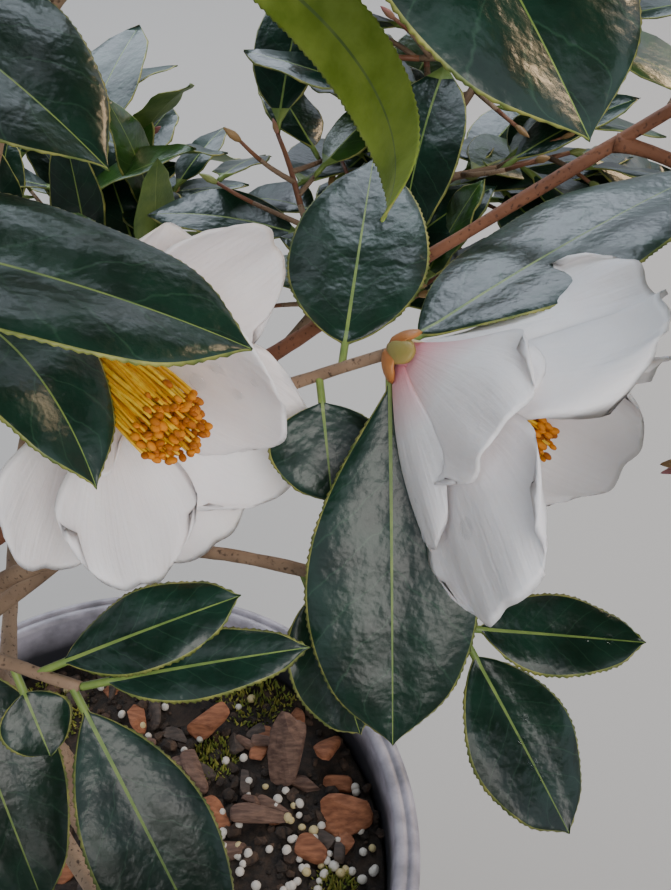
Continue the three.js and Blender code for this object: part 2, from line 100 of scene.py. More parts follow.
def grain(tree, size_mm, detail=3.0, stretch=(1, 1, 1)):
    """Noise with grains of this size, longer along an axis by its stretch."""
    spot = add(tree, "ShaderNodeTexCoord").outputs["Object"]
    scaled = add(tree, "ShaderNodeMapping", {0: spot})
    scaled.inputs["Scale"].default_value = tuple(1 / (size_mm * MM * s) for s in stretch)
    return add(tree, "ShaderNodeTexNoise", {0: scaled.outputs[0]}, Scale=1.0, Detail=detail).outputs[0]


def ranged(tree, pattern, low, high, to_low=0.0, to_high=1.0):
    """A pattern stretched so that low and high become to_low and to_high."""
    stretched = add(tree, "ShaderNodeMapRange", {0: pattern}, From_Min=low, From_Max=high)
    stretched.inputs["To Min"].default_value = to_low
    stretched.inputs["To Max"].default_value = to_high
    return stretched.outputs[0]


def two_tone(tree, shader, first, second, share):
    """The base colour goes from one hex value to another with a pattern from 0 to 1."""
    blend = add(tree, "ShaderNodeMix", {0: share}, data_type="RGBA")
    blend.inputs[6].default_value = linear(first)
    blend.inputs[7].default_value = linear(second)
    tree.links.new(blend.outputs[2], shader.inputs["Base Color"])


def bumped(tree, shader, pattern, depth_mm):
    """A pattern also stands out of the surface by this depth."""
    bump = add(tree, "ShaderNodeBump", {"Height": pattern}, Strength=1.0, Distance=depth_mm * MM)
    tree.links.new(bump.outputs[0], shader.inputs["Normal"])


def joined_mesh(name, parts, materials, smooth=True):
    """One object from many parts. A part is its points in mm, its arrays of faces, the material of each
    face, and each point's place on the pattern, or None."""
    corners, sizes, points, picks, places = [], [], [], [], []
    first = 0
    for part_points, face_arrays, pick, place in parts:
        points.append(part_points)
        places.append(np.zeros((len(part_points), 2)) if place is None else place)
        for faces in face_arrays:
            corners.append(faces.ravel() + first)
            sizes.append(np.full(len(faces), faces.shape[1]))
        picks.append(np.broadcast_to(pick, sum(len(faces) for faces in face_arrays)))
        first += len(part_points)
    corners, sizes, points = np.concatenate(corners), np.concatenate(sizes), np.concatenate(points)
    mesh = bpy.data.meshes.new(name)
    mesh.vertices.add(len(points))
    mesh.vertices.foreach_set("co", (points * MM).ravel())
    mesh.loops.add(len(corners))
    mesh.loops.foreach_set("vertex_index", corners.astype(np.int32))
    mesh.polygons.add(len(sizes))
    mesh.polygons.foreach_set("loop_start", (np.cumsum(sizes) - sizes).astype(np.int32))
    mesh.polygons.foreach_set("material_index", np.concatenate(picks).astype(np.int32))
    mesh.polygons.foreach_set("use_smooth", np.full(len(sizes), smooth))
    pattern = mesh.uv_layers.new(name="pattern")
    pattern.data.foreach_set("uv", np.concatenate(places)[corners].ravel())
    mesh.update(calc_edges=True)
    for used in materials:
        mesh.materials.append(used)
    made = bpy.data.objects.new(name, mesh)
    bpy.context.scene.collection.objects.link(made)
    return made


def on_plant(piece, slot, *nodes):
    """The piece rides with the plant and stands for these nodes. The slot is not used."""
    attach(piece, "root")
    if nodes:
        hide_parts(*nodes)


def lathe(profile, sides):
    """A closed solid of revolution from (radius, height) pairs, both of its ends on the axis."""
    turn = np.arange(sides) * 2 * math.pi / sides
    rings = np.array(profile[1:-1], float)
    points = np.stack([
        np.outer(rings[:, 0], np.cos(turn)),
        np.outer(rings[:, 0], np.sin(turn)),
        np.repeat(rings[:, 1:], sides, axis=1),
    ], axis=-1).reshape(-1, 3)
    index = np.arange(len(points)).reshape(len(rings), sides)
    after = np.roll(index, -1, axis=1)
    quads = np.stack([index[:-1], after[:-1], after[1:], index[1:]], axis=-1).reshape(-1, 4)
    start = np.stack([np.full(sides, len(points)), after[0], index[0]], axis=-1)
    end = np.stack([np.full(sides, len(points) + 1), index[-1], after[-1]], axis=-1)
    points = np.vstack([points, [[0, 0, profile[0][1]], [0, 0, profile[-1][1]]]])
    return points, [quads, np.vstack([start, end])]


pot_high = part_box("nursery_pot")[1]
POT_HEIGHT = pot_high.z / MM
LIP_RADIUS = pot_high.x / MM
FOOT_RADIUS = 0.8 * LIP_RADIUS
WALL = 2.5
TAPER = 15.5
LIP_HEIGHT = 13
DRAIN_HOLES = 6
POT_SIDES = 144
# The wall's heights and insets, the lip's insets and heights over its lower edge, and its insets and
# drops below the rim
PANEL = [(16, 0), (18, 0.8), (150, 0.8), (152, 0), (196, 0)]
LIP_UNDERSIDE = [(1.2, 0.6), (0.3, 1.6), (0, 4)]
LIP_TOP = [(0, 3.4), (0.5, 1.5), (1.7, 0.4), (2.8, 0), (3.8, 0.5), (4.4, 1.4), (5, 0.5), (6, 0)]


def wall_radius(height):
    return FOOT_RADIUS + TAPER * height / POT_HEIGHT


def pot_profile():
    lip_bottom = POT_HEIGHT - LIP_HEIGHT
    inner = wall_radius(POT_HEIGHT) - WALL
    foot = [(0, 1.2), (FOOT_RADIUS - 9, 1.2), (FOOT_RADIUS - 8, 0), (FOOT_RADIUS - 1.2, 0)]
    foot.append((FOOT_RADIUS, 1.2))
    panel = [(wall_radius(z) - inset, z) for z, inset in PANEL]
    lip = [(wall_radius(lip_bottom), lip_bottom)]
    lip += [(LIP_RADIUS - inset, lip_bottom + rise) for inset, rise in LIP_UNDERSIDE]
    lip += [(LIP_RADIUS - inset, POT_HEIGHT - drop) for inset, drop in LIP_TOP]
    lip += [(inner + 1, POT_HEIGHT - 0.4), (inner, POT_HEIGHT - 1.6)]
    inside = [(wall_radius(z) - WALL, z) for z in (196, 150, 60, WALL + 1)]
    return foot + panel + lip + inside + [(wall_radius(0) - WALL - 1.5, WALL), (0, WALL)]


def cut_drain_holes(pot):
    """Slots 15 mm wide and 8 mm high go through the wall just above the base."""
    corners = np.array([(x, y, z) for x in (-9, 9) for y in (-7.5, 7.5) for z in (-4, 4)], float)
    sides = np.array([(0, 1, 3, 2), (4, 6, 7, 5), (0, 4, 5, 1), (2, 3, 7, 6), (0, 2, 6, 4), (1, 5, 7, 3)])
    boxes = []
    for i in range(DRAIN_HOLES):
        turn = (i + 0.5) * 2 * math.pi / DRAIN_HOLES
        x, y = corners[:, 0] + FOOT_RADIUS, corners[:, 1]
        around = [x * math.cos(turn) - y * math.sin(turn), x * math.sin(turn) + y * math.cos(turn)]
        boxes.append((np.stack([*around, corners[:, 2] + WALL + 8], axis=-1), [sides], 0, None))
    cutter = joined_mesh("cutter", boxes, [], smooth=False)
    cut = pot.modifiers.new("drain", "BOOLEAN")
    cut.object = cutter
    pot.data = bpy.data.meshes.new_from_object(pot.evaluated_get(bpy.context.evaluated_depsgraph_get()))
    pot.modifiers.clear()
    bpy.data.objects.remove(cutter)


def polypropylene():
    """Moulded polypropylene, coloured black: a soft, low gloss. Its lip is painted grey lilac in patches:
    a painted highlight where the light from above falls on it."""
    made, tree, shader = material("moulded_polypropylene", "2a2a2e", Roughness=0.42, IOR=1.49)
    spot = add(tree, "ShaderNodeTexCoord").outputs["Object"]
    height = add(tree, "ShaderNodeSeparateXYZ", {0: spot}).outputs[2]
    # Painted highlight: the lip of the black pot is lightened to grey lilac in patches, where light falls on
    # it from above.
    on_lip = ranged(tree, height, 0.197, 0.211)
    painted_lip_sheen = add(tree, "ShaderNodeMath", {0: on_lip, 1: grain(tree, 9, 6)}, operation="MULTIPLY").outputs[0]
    two_tone(tree, shader, "2a2a2e", "9a949c", ranged(tree, painted_lip_sheen, 0.06, 0.6))
    bumped(tree, shader, grain(tree, 1.2), 0.05)
    return made


pot = joined_mesh("moulded_pot", [(*lathe(pot_profile(), POT_SIDES), 0, None)], [polypropylene()])
cut_drain_holes(pot)
on_plant(pot, "pot_plastic", "nursery_pot")


# The potting mix
# Composted bark and peat, filled to a finger's width below the lip: dark crumbs with orange-brown
# bark chips on top, pale prills of feed and perlite, and moss where it stays damp. It is poured in
# loose, watered down, and holds the foot of the trunk.

SOIL_TOP = 192
SOIL_SIDES = 96
GOLDEN_ANGLE = 137.5


def random_from(seed):
    """Pseudo-random numbers from 0 to 1, the same in every run."""
    state = seed * 7919 + 17

    def draw():
        nonlocal state
        state = (state * 16807) % 2147483647
        return state / 2147483647

    return draw


def mix(low, high, share):
    return low + (high - low) * share


def ground_at(x, y):
    """The height of the soil at a place."""
    swell = noise.noise(Vector((x / 34, y / 34, 3.7)))
    crumbs = noise.fractal(Vector((x / 6, y / 6, 1.3)), 0.9, 2.1, 4)
    return SOIL_TOP - 1.2 + 2.0 * swell + 1.1 * crumbs


def soil_plug():
    """The soil as a closed plug, rough on top."""
    soil_low, soil_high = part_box("potting_soil")
    edge, foot = soil_high.x / MM - 0.2, soil_low.z / MM
    top = [(radius, SOIL_TOP) for radius in np.linspace(edge - 1, 1.2, 62)]
    sides = [(wall_radius(foot) - WALL - 0.6, foot), (edge, SOIL_TOP - 5)]
    points, faces = lathe([(0, foot), *sides, *top, (0, SOIL_TOP)], SOIL_SIDES)
    for point in points:
        if point[2] > SOIL_TOP - 2:
            point[2] = ground_at(point[0], point[1])
    return points, faces, 0, None


def ball(divisions):
    """Points and triangles of a ball of radius 1."""
    shape = bmesh.new()
    bmesh.ops.create_icosphere(shape, subdivisions=divisions, radius=1)
    shape.verts.index_update()
    points = np.array([v.co for v in shape.verts])
    faces = np.array([[v.index for v in f.verts] for f in shape.faces])
    shape.free()
    return points, faces


def broken_lump(draw, form, size, boxy, cuts):
    """A lump of these three sizes, squared up by `boxy` and broken off flat by random cuts."""
    points = np.sign(form) * np.abs(form) ** boxy
    for _ in range(cuts):
        facing = np.array([draw() - 0.5, draw() - 0.5, draw() - 0.5])
        facing /= np.linalg.norm(facing) + 1e-9
        over = np.maximum(points @ facing - mix(0.45, 0.85, draw()), 0)
        points = points - over[:, None] * facing
    return points * np.array(size) / 2


def laid(points, place, heading, tilt, roll=0.0):
    """Turned by its angles in degrees and set down at a place."""
    turned = Euler((math.radians(roll), math.radians(tilt), math.radians(heading))).to_matrix()
    return points @ np.array(turned).T + np.array(place)


def scattered(draw, count, inner=13, outer=95):
    """Places on the soil, spread evenly between two radii."""
    for i in range(count):
        radius = math.sqrt(mix(inner ** 2, outer ** 2, draw()))
        turn = math.radians(360 * draw())
        yield radius * math.cos(turn), radius * math.sin(turn)


BALL_20, FACES_20 = ball(1)
BALL_80, FACES_80 = ball(2)
BALL_320, FACES_320 = ball(3)

# Chips that show best: place, the three sizes, heading, tilt and roll, and which colour
KNOWN_CHIPS = [
    ((60, 44), (32, 15, 6), 75, -38, 10, 1),
    ((84, 19), (19, 17, 8), 20, -8, 6, 2),
    ((28, 58), (19, 10, 6), 35, -14, 0, 2),
    ((52, 19), (25, 8, 5), 2, 4, 0, 1),
    ((34, 90), (20, 10, 5), 150, 10, 0, 0),
    ((76, 46), (15, 9, 6), 60, 22, 0, 2),
    ((24, 36), (21, 9, 5), 110, 6, 12, 1),
]
CHIPS = 150
CHIP_SIZES = (6, 19), (4, 10), (2.5, 6)
CRUMBS = 1500
PRILLS = 210
PRILL_HEAP = 58, -2
HEAP_SHARES = 0.42, 0.34
SOIL_REACH = 96

# Where moss grows, and how far
MOSS_PATCHES = [
    ((46, 76), 18), ((30, 44), 11), ((80, -8), 9),
    ((-40, 66), 16), ((-70, -20), 13), ((-12, -58), 15),
]
MOSS_PER_MM = 24


def bark_chips():
    draw = random_from(31)
    parts = []
    for (x, y), size, heading, tilt, roll, colour in KNOWN_CHIPS:
        lump = broken_lump(draw, BALL_320, size, 0.5, 5)
        lift = 0.25 * size[2] + 0.4 * size[0] * abs(math.sin(math.radians(tilt)))
        parts.append((laid(lump, (x, y, SOIL_TOP + lift), heading, tilt, roll), [FACES_320], colour, None))
    (moss_x, moss_y), moss_radius = MOSS_PATCHES[0]
    for x, y in scattered(draw, CHIPS):
        size = [mix(*sizes, draw()) for sizes in CHIP_SIZES]
        if math.hypot(x - moss_x, y - moss_y) < moss_radius:
            continue
        lump = broken_lump(draw, BALL_320, size, 0.5, 5)
        place = x * 0.94, y * 0.94, ground_at(x, y) + 0.2 * size[2]
        tilt, roll = mix(-16, 16, draw()), mix(-20, 20, draw())
        parts.append((laid(lump, place, 360 * draw(), tilt, roll), [FACES_320], int(3 * draw()), None))
    return parts


def crumbs():
    draw = random_from(32)
    parts = []
    for x, y in scattered(draw, CRUMBS, inner=9, outer=98):
        size = mix(2, 7, draw() ** 2)
        lump = broken_lump(draw, BALL_20, (size, size * mix(0.6, 1, draw()), size * 0.6), 0.8, 2)
        place = x, y, ground_at(x, y) + 0.1 * size
        parts.append((laid(lump, place, 360 * draw(), 0), [FACES_20], int(2 * draw()), None))
    return parts


def prills():
    draw = random_from(33)
    parts = []
    for i, (x, y) in enumerate(scattered(draw, PRILLS)):
        if i % 2:
            x, y = PRILL_HEAP[0] + HEAP_SHARES[0] * x, PRILL_HEAP[1] + HEAP_SHARES[1] * y
        if math.hypot(x, y) > SOIL_REACH - 1:
            continue
        size = mix(2.6, 4.2, draw())
        lump = BALL_80 * np.array([size, size * mix(0.8, 1, draw()), size * mix(0.8, 1, draw())]) / 2
        parts.append((laid(lump, (x, y, ground_at(x, y) + 0.4 * size), 360 * draw(), 0), [FACES_80],
                      int(1.3 * draw()), None))
    return parts


def moss():
    """Cushions of three-sided shoots, denser and longer at the middle of each patch."""
    draw = random_from(34)
    foot = np.array([(math.cos(a), math.sin(a), 0) for a in (0, 2.1, 4.2)])
    sides = np.array([(0, 1, 3), (1, 2, 3), (2, 0, 3), (0, 2, 1)])
    parts = []
    for (x, y), radius in MOSS_PATCHES:
        for i in range(int(MOSS_PER_MM * radius)):
            away, turn = radius * math.sqrt(draw()), math.radians(i * GOLDEN_ANGLE)
            place = np.array([x + away * math.cos(turn), y + away * math.sin(turn), 0])
            if math.hypot(place[0], place[1]) > SOIL_REACH:
                continue
            place[2] = ground_at(place[0], place[1]) - 0.3
            sway = mix(-1.4, 1.4, draw()), mix(-1.4, 1.4, draw())
            height = mix(2.6, 5.6, draw()) * (1.4 - away / radius)
            shoot = np.vstack([foot * mix(0.5, 0.9, draw()), [*sway, height]]) + place
            parts.append((shoot, [sides], int(2 * draw()), None))
    return parts


def wet_peat(name, colour, second):
    """Peat and composted bark, damp: nearly black, matt, with a fine crumb."""
    made, tree, shader = material(name, colour, Roughness=0.9, IOR=1.45)
    two_tone(tree, shader, colour, second, ranged(tree, grain(tree, 3, 5), 0.4, 0.66))
    bumped(tree, shader, grain(tree, 0.8, 4), 0.4)
    return made


def pine_bark(name, colour, second):
    """Broken pine bark: layered, with a dry matt face that is paler where it has worn."""
    made, tree, shader = material(name, colour, Roughness=0.8, IOR=1.5)
    layers = grain(tree, 1.6, 5, stretch=(4, 1, 1))
    two_tone(tree, shader, colour, second, ranged(tree, layers, 0.35, 0.65))
    bumped(tree, shader, layers, 0.5)
    return made


def coated_prill(name, colour):
    """Perlite and resin-coated feed: pale, rounded and faintly glossy."""
    made, tree, shader = material(name, colour, Roughness=0.5, IOR=1.5)
    bumped(tree, shader, grain(tree, 0.7), 0.1)
    return made


def green_moss(name, colour, second):
    """Moss shoots: matt, yellower at the tips."""
    made, tree, shader = material(name, colour, Roughness=0.85, IOR=1.4)
    two_tone(tree, shader, colour, second, ranged(tree, grain(tree, 5), 0.35, 0.65))
    return made


PEAT = [wet_peat("damp_peat", "1c1612", "33271e"), wet_peat("peat_crumb", "2b2019", "4a382b")]
on_plant(joined_mesh("soil_plug", [soil_plug()], PEAT[:1]), "potting_mix", "potting_soil")
on_plant(joined_mesh("soil_crumbs", crumbs(), PEAT, smooth=False), "potting_mix")
chip_bark = [
    pine_bark("weathered_pine_bark", "2f2620", "4c3e35"),
    pine_bark("brown_pine_bark", "463026", "6b5143"),
    pine_bark("fresh_pine_bark", "66391f", "8e5a3c"),
]
on_plant(joined_mesh("bark_chips", bark_chips(), chip_bark, smooth=False), "potting_mix")
prill_skins = [coated_prill("perlite", "b9b2a8"), coated_prill("feed_prill", "b0a074")]
on_plant(joined_mesh("feed_prills", prills(), prill_skins), "potting_mix")
mossy = [green_moss("moss_green", "4d5a20", "7a8638"), green_moss("moss_yellow", "757330", "9a9645")]
on_plant(joined_mesh("soil_moss", moss(), mossy, smooth=False), "potting_mix")


# The trunk and the boughs
# One young stem that leans to the left and forks at half height, with a leader and sixteen boughs
# off them. The bark is smooth, tan grey to red-brown, with fine long cracks. Each bough grows out
# of its parent and tapers without a break to the tip of the stem inside its foliage.

TRUNK_RADIUS = 7.2
FORK_RADIUS = 5.6
FLARE = 5.8
TWIG_RADIUS = 1.15
RED_BROWN_BOUGHS = "right_high", "right_side"
FULL_TURN = 6.2832
PATTERN_PER_MM = 0.01
# The slight wander of the boughs starts from this seed, so that it is the same in every run
WANDER_SEED = 1
UP = np.array([0.0, 0.0, 1.0])

TRUNK = np.array([(0, 0, SOIL_TOP + 0.3), (-6, 3, 240), (-24, 8, 300)])

# Each limb starts on its parent, at a share of the parent's length, and runs over a bend to its tip.
# From the share `enters` on it carries foliage. `reach` is how far its side twigs stand out.
LIMBS = [
    dict(name="leader", parent="trunk", share=1, bend=(-40, 14, 400), tip=(0, 22, 600),
         enters=0.6, radii=(5.2, 3), reach=70, twigs=11, seed=11, bloom_from=8),
    dict(name="right_middle", parent="leader", share=0.25, bend=(24, 24, 382), tip=(92, -6, 431),
         enters=0.7, radii=(2.6, 1.7), reach=0, twigs=0, seed=12),
    dict(name="right_low", parent="leader", share=0.124, bend=(30, -8, 403), tip=(106, -36, 381),
         enters=0.66, radii=(2.6, 1.5), reach=0, twigs=0, seed=13),
    dict(name="front_low", parent="leader", share=0.05, bend=(-15, -40, 392), tip=(30, -51, 383),
         enters=0.6, radii=(2.6, 1.5), reach=0, twigs=0, seed=14),
    dict(name="front_middle", parent="leader", share=0.41, bend=(-20, 6, 444), tip=(29, 0, 427),
         enters=0.5, radii=(2.4, 1.5), reach=0, twigs=0, seed=15),
    dict(name="front_high", parent="leader", share=0.44, bend=(-50, -40, 450), tip=(26, -52, 528),
         enters=0.6, radii=(2.4, 1.6), reach=52, twigs=7, seed=16),
    dict(name="right_high", parent="leader", share=0.19, bend=(53, 31, 399), tip=(191, 33, 493),
         enters=0.83, radii=(2.1, 1.4), reach=62, twigs=8, seed=17, bloom_from=5),
    dict(name="right_side", parent="right_high", share=0.8, bend=(176, 20, 456), tip=(190, -52, 402),
         enters=0.4, radii=(1.4, 1.2), reach=54, twigs=8, seed=18, bloom_from=5),
    dict(name="upper_right", parent="leader", share=0.54, bend=(40, 40, 496), tip=(118, -8, 575),
         enters=0.5, radii=(2.4, 1.6), reach=60, twigs=9, seed=19),
    dict(name="left_high", parent="leader", share=0.47, bend=(-92, 14, 455), tip=(-128, -14, 556),
         enters=0.5, radii=(2.5, 1.6), reach=64, twigs=9, seed=20, bloom_from=8),
    dict(name="left_low", parent="leader", share=0.27, bend=(-100, -10, 370), tip=(-152, -32, 446),
         enters=0.5, radii=(2.8, 1.7), reach=62, twigs=9, seed=21, bloom_from=7),
    dict(name="front_left", parent="leader", share=0.16, bend=(-62, -64, 345), tip=(-84, -118, 428),
         enters=0.5, radii=(2.8, 1.7), reach=60, twigs=10, seed=22, bloom_from=8),
    dict(name="front_right", parent="trunk", share=0.95, bend=(36, -100, 288), tip=(122, -126, 400),
         enters=0.6, radii=(2.8, 1.7), reach=56, twigs=9, seed=23, bloom_from=7),
    dict(name="back_left", parent="leader", share=0.3, bend=(-82, 84, 400), tip=(-108, 122, 506),
         enters=0.5, radii=(2.8, 1.7), reach=62, twigs=9, seed=24, bloom_from=7),
    dict(name="back_high", parent="leader", share=0.36, bend=(0, 84, 430), tip=(18, 128, 545),
         enters=0.5, radii=(2.7, 1.7), reach=62, twigs=10, seed=25),
    dict(name="back_right", parent="leader", share=0.1, bend=(70, 82, 350), tip=(132, 128, 452),
         enters=0.5, radii=(2.8, 1.7), reach=62, twigs=10, seed=26, bloom_from=6),
    dict(name="back_low", parent="trunk", share=0.9, bend=(-35, 92, 318), tip=(-14, 160, 388),
         enters=0.5, radii=(2.8, 1.7), reach=60, twigs=9, seed=27),
]


def unit(v):
    return v / np.linalg.norm(v)


def curve_point(curve, t):
    return curve[0] * (1 - t) ** 2 + curve[1] * 2 * t * (1 - t) + curve[2] * t * t


def curve_slope(curve, t):
    return 2 * ((curve[1] - curve[0]) * (1 - t) + (curve[2] - curve[1]) * t)


def curve_length(curve):
    points = np.array([curve_point(curve, i / 200) for i in range(201)])
    return np.linalg.norm(np.diff(points, axis=0), axis=1).sum()


curves = {"trunk": TRUNK}
for row in LIMBS:
    start = curve_point(curves[row["parent"]], row["share"])
    curves[row["name"]] = np.array([start, row["bend"], row["tip"]], float)


def ring_frames(points):
    """Two directions across a line at each of its points, carried along it without twisting."""
    slopes = np.gradient(points, axis=0)
    slopes /= np.linalg.norm(slopes, axis=1)[:, None]
    side = unit(np.cross(slopes[0], UP if abs(slopes[0][2]) < 0.9 else np.array([1.0, 0, 0])))
    sides = []
    for slope in slopes:
        side = unit(side - slope * side.dot(slope))
        sides.append(side)
    sides = np.array(sides)
    return sides, np.cross(slopes, sides)


def tube(points, radii, sides, pick=0, relief=None):
    """A round limb along a line, closed at both ends. `relief` gives each ring's radii as shares."""
    points, radii = np.asarray(points, float), np.asarray(radii, float)
    across, over = ring_frames(points)
    turn = np.arange(sides) * 2 * math.pi / sides
    reach = radii[:, None] * np.ones(sides) if relief is None else radii[:, None] * relief
    rings = points[:, None] + (reach * np.cos(turn))[..., None] * across[:, None]
    rings = rings + (reach * np.sin(turn))[..., None] * over[:, None]
    index = np.arange(len(points) * sides).reshape(len(points), sides)
    after = np.roll(index, -1, axis=1)
    quads = np.stack([index[:-1], after[:-1], after[1:], index[1:]], axis=-1).reshape(-1, 4)
    poles = index.size, index.size + 1
    start = np.stack([np.full(sides, poles[0]), after[0], index[0]], axis=-1)
    end = np.stack([np.full(sides, poles[1]), index[-1], after[-1]], axis=-1)
    solid = np.vstack([rings.reshape(-1, 3), points[:1], points[-1:]])
    along = np.concatenate([[0], np.cumsum(np.linalg.norm(np.diff(points, axis=0), axis=1))])
    place = np.broadcast_arrays(turn[None] / FULL_TURN, along[:, None] * PATTERN_PER_MM)
    place = np.stack(place, axis=-1).reshape(-1, 2)
    return solid, [quads, np.vstack([start, end])], pick, np.vstack([place, place[:1], place[-1:]])


def bark_relief(along, radii, sides, seed, depth):
    """Shares of the radius round each ring: long shallow cracks between low ridges, and slow swellings."""
    shares = np.ones((len(along), sides))
    for i, (distance, radius) in enumerate(zip(along, radii)):
        for j in range(sides):
            turn = 2 * math.pi * j / sides
            x, y = radius * math.cos(turn), radius * math.sin(turn)
            cracks = abs(noise.noise(Vector((x / 1.3, y / 1.3, distance / 11 + seed))))
            swell = noise.noise(Vector((x / 9, y / 9, distance / 26 + seed)))
            pits = noise.noise(Vector((x / 0.9, y / 0.9, distance / 1.6 + seed)))
            shares[i, j] += (depth * (min(cracks, 0.25) - 0.18 + 0.25 * pits) + 0.35 * swell) / radius
    return shares


def bark_limbs():
    noise.seed_set(WANDER_SEED)
    steps, sides = 90, 40
    ts = np.linspace(-0.06, 1.02, steps)
    line = np.array([curve_point(TRUNK, t) for t in ts])
    shares = np.clip(ts, 0, 1)
    radii = mix(TRUNK_RADIUS, FORK_RADIUS, shares) + FLARE * (1 - shares) ** 12
    relief = bark_relief(ts * curve_length(TRUNK), radii, sides, 0.0, 1.1)
    turn = np.arange(sides) * 2 * math.pi / sides
    roots = 0.13 * np.outer((1 - shares) ** 9, np.cos(3 * turn + 0.6) + 0.6 * np.cos(2 * turn - 1))
    parts = [tube(line, radii, sides, 0, relief + roots)]
    for number, row in enumerate(LIMBS):
        curve = curves[row["name"]]
        length = curve_length(curve)
        steps, sides = max(24, int(length / 2.6)), 28 if row["name"] == "leader" else 18
        ts = np.linspace(0, 1, steps)
        thick, thin = row["radii"]
        radii = np.interp(ts, [0, row["enters"], 1], [thick, thin, TWIG_RADIUS])
        swell, fades_over = (0.45 * thick, 5) if row["share"] < 1 else (0.25, 9)
        radii = radii + swell * np.exp(-ts * length / fades_over)
        wander = np.array([noise.noise_vector(Vector((t * length / 21, number, 0.5))) for t in ts])
        line = np.array([curve_point(curve, t) for t in ts])
        line = line + wander * 0.5 * np.sin(math.pi * ts)[:, None]
        relief = bark_relief(ts * length, radii, sides, number + 1.5, 0.2 * thick)
        parts.append(tube(line, radii, sides, int(row["name"] in RED_BROWN_BOUGHS), relief))
    return parts


def camellia_bark(name, colour, second, crack):
    """Smooth young camellia bark: tan to grey, dry and matt, with fine dark cracks along the limb."""
    made, tree, shader = material(name, colour, Roughness=0.72, IOR=1.45)
    cracks = grain(tree, 1.1, 6)
    patches = grain(tree, 14, 4)
    blend = add(tree, "ShaderNodeMix", {0: ranged(tree, patches, 0.38, 0.64)}, data_type="RGBA")
    blend.inputs[6].default_value = linear(colour)
    blend.inputs[7].default_value = linear(second)
    cracked = ranged(tree, cracks, 0.42, 0.3)
    lines = add(tree, "ShaderNodeMix", {0: cracked, 6: blend.outputs[2]}, data_type="RGBA")
    lines.inputs[7].default_value = linear(crack)
    tree.links.new(lines.outputs[2], shader.inputs["Base Color"])
    bumped(tree, shader, cracks, 0.25)
    return made


barks = [
    camellia_bark("tan_grey_bark", "9c8168", "7d6551", "4e3b2e"),
    camellia_bark("red_brown_bark", "8a5a40", "6d4432", "3f261c"),
]
boughs = ["bough_" + row["name"] for row in LIMBS]
on_plant(joined_mesh("bark_limbs", bark_limbs(), barks), "bark", "trunk", *boughs)


# The growth of the crown
# Side twigs stand a golden angle apart round each stem, with leaves by turns left and right along
# them. Where a twig or leaf has no room it isn't there, and the crown is open at the front right.
# This is the rule that the solids were grown by, so the crown stands where they do.

LEAF_LENGTH = 62
LEAF_SHAPE = 0.46
LEAF_FOLD = 3
NODE_SPACING = 13
LEAF_APART = 5
BLOOM_APART = 2
MASSES_APART = 8
LIMB_APART = 3
LOWEST_LEAF = 236
ROOT_ZONE = 15
LEAF_ATTEMPTS = 4
MOST_MARKS = 40000
RING_SHARES = [(0.24, 0.76), (0.68, 0.92)]
SPINE_STEPS = 12

OPENING_POINT = np.array([80.0, -158.0, 543.0])
OPENING_PITCH = 42
OPENING_HALF_WIDTH = 0.37
OPENING_HALF_HEIGHT = 0.5
OPENING_DEPTH = 265
OPENING_CLEAR_BELOW = 0.12
OPENING_CLEARANCE = 55

# The leaves that show best, placed one by one: share of the limb's length where the stalk leaves, heading,
# rise and roll of the blade in degrees, length and width, curl, sideways bend, and where it is widest
KNOWN_LEAVES = {
    "right_middle": [
        (0.92, 82, 21, 0, 59, 32, 6, 0, 0.44),
        (0.99, -89, -48, 0, 79, 36, 10, 0, 0.58),
        (1, 36, 10, -10, 96, 38, 10, 0, 0.46),
        (0.885, -82, -40, 0, 27, 25, 10, 0, 0.44),
    ],
    "right_low": [
        (0.775, -57, -52, 0, 40, 23, 10, 0, 0.44),
        (0.99, 0, -7, 25, 42, 18, 4, 0, 0.44),
        (1, -55, -34, 0, 46, 26, 6, 0, 0.5),
    ],
    "front_low": [
        (0.9, 13, 18, 25, 43, 17, 12, 0, 0.5),
        (1, 4, 12, 25, 46, 14, 16, 0, 0.46),
        (0.98, -53, -38, 0, 66, 26, 10, 0, 0.5),
        (0.47, -60, -42, 0, 64, 31, 10, 0, 0.44),
        (0.83, -58, -44, 0, 20, 15, 10, 0, 0.44),
    ],
    "front_middle": [(0.52, -36, 18, -16, 71, 32, 100, 0, 0.44)],
    "front_high": [(0.65, -6, -4, 0, 86, 34, 28, 0, 0.6)],
    "leader": [(0.73, -30, -10, 0, 77, 40, 36, 0, 0.5)],
    "upper_right": [
        (0.52, -6, -33, -94, 88, 15, 134, -26, 0.5),
        (0.72, -54, -29, 0, 78, 46, 20, 0, 0.6),
    ],
}
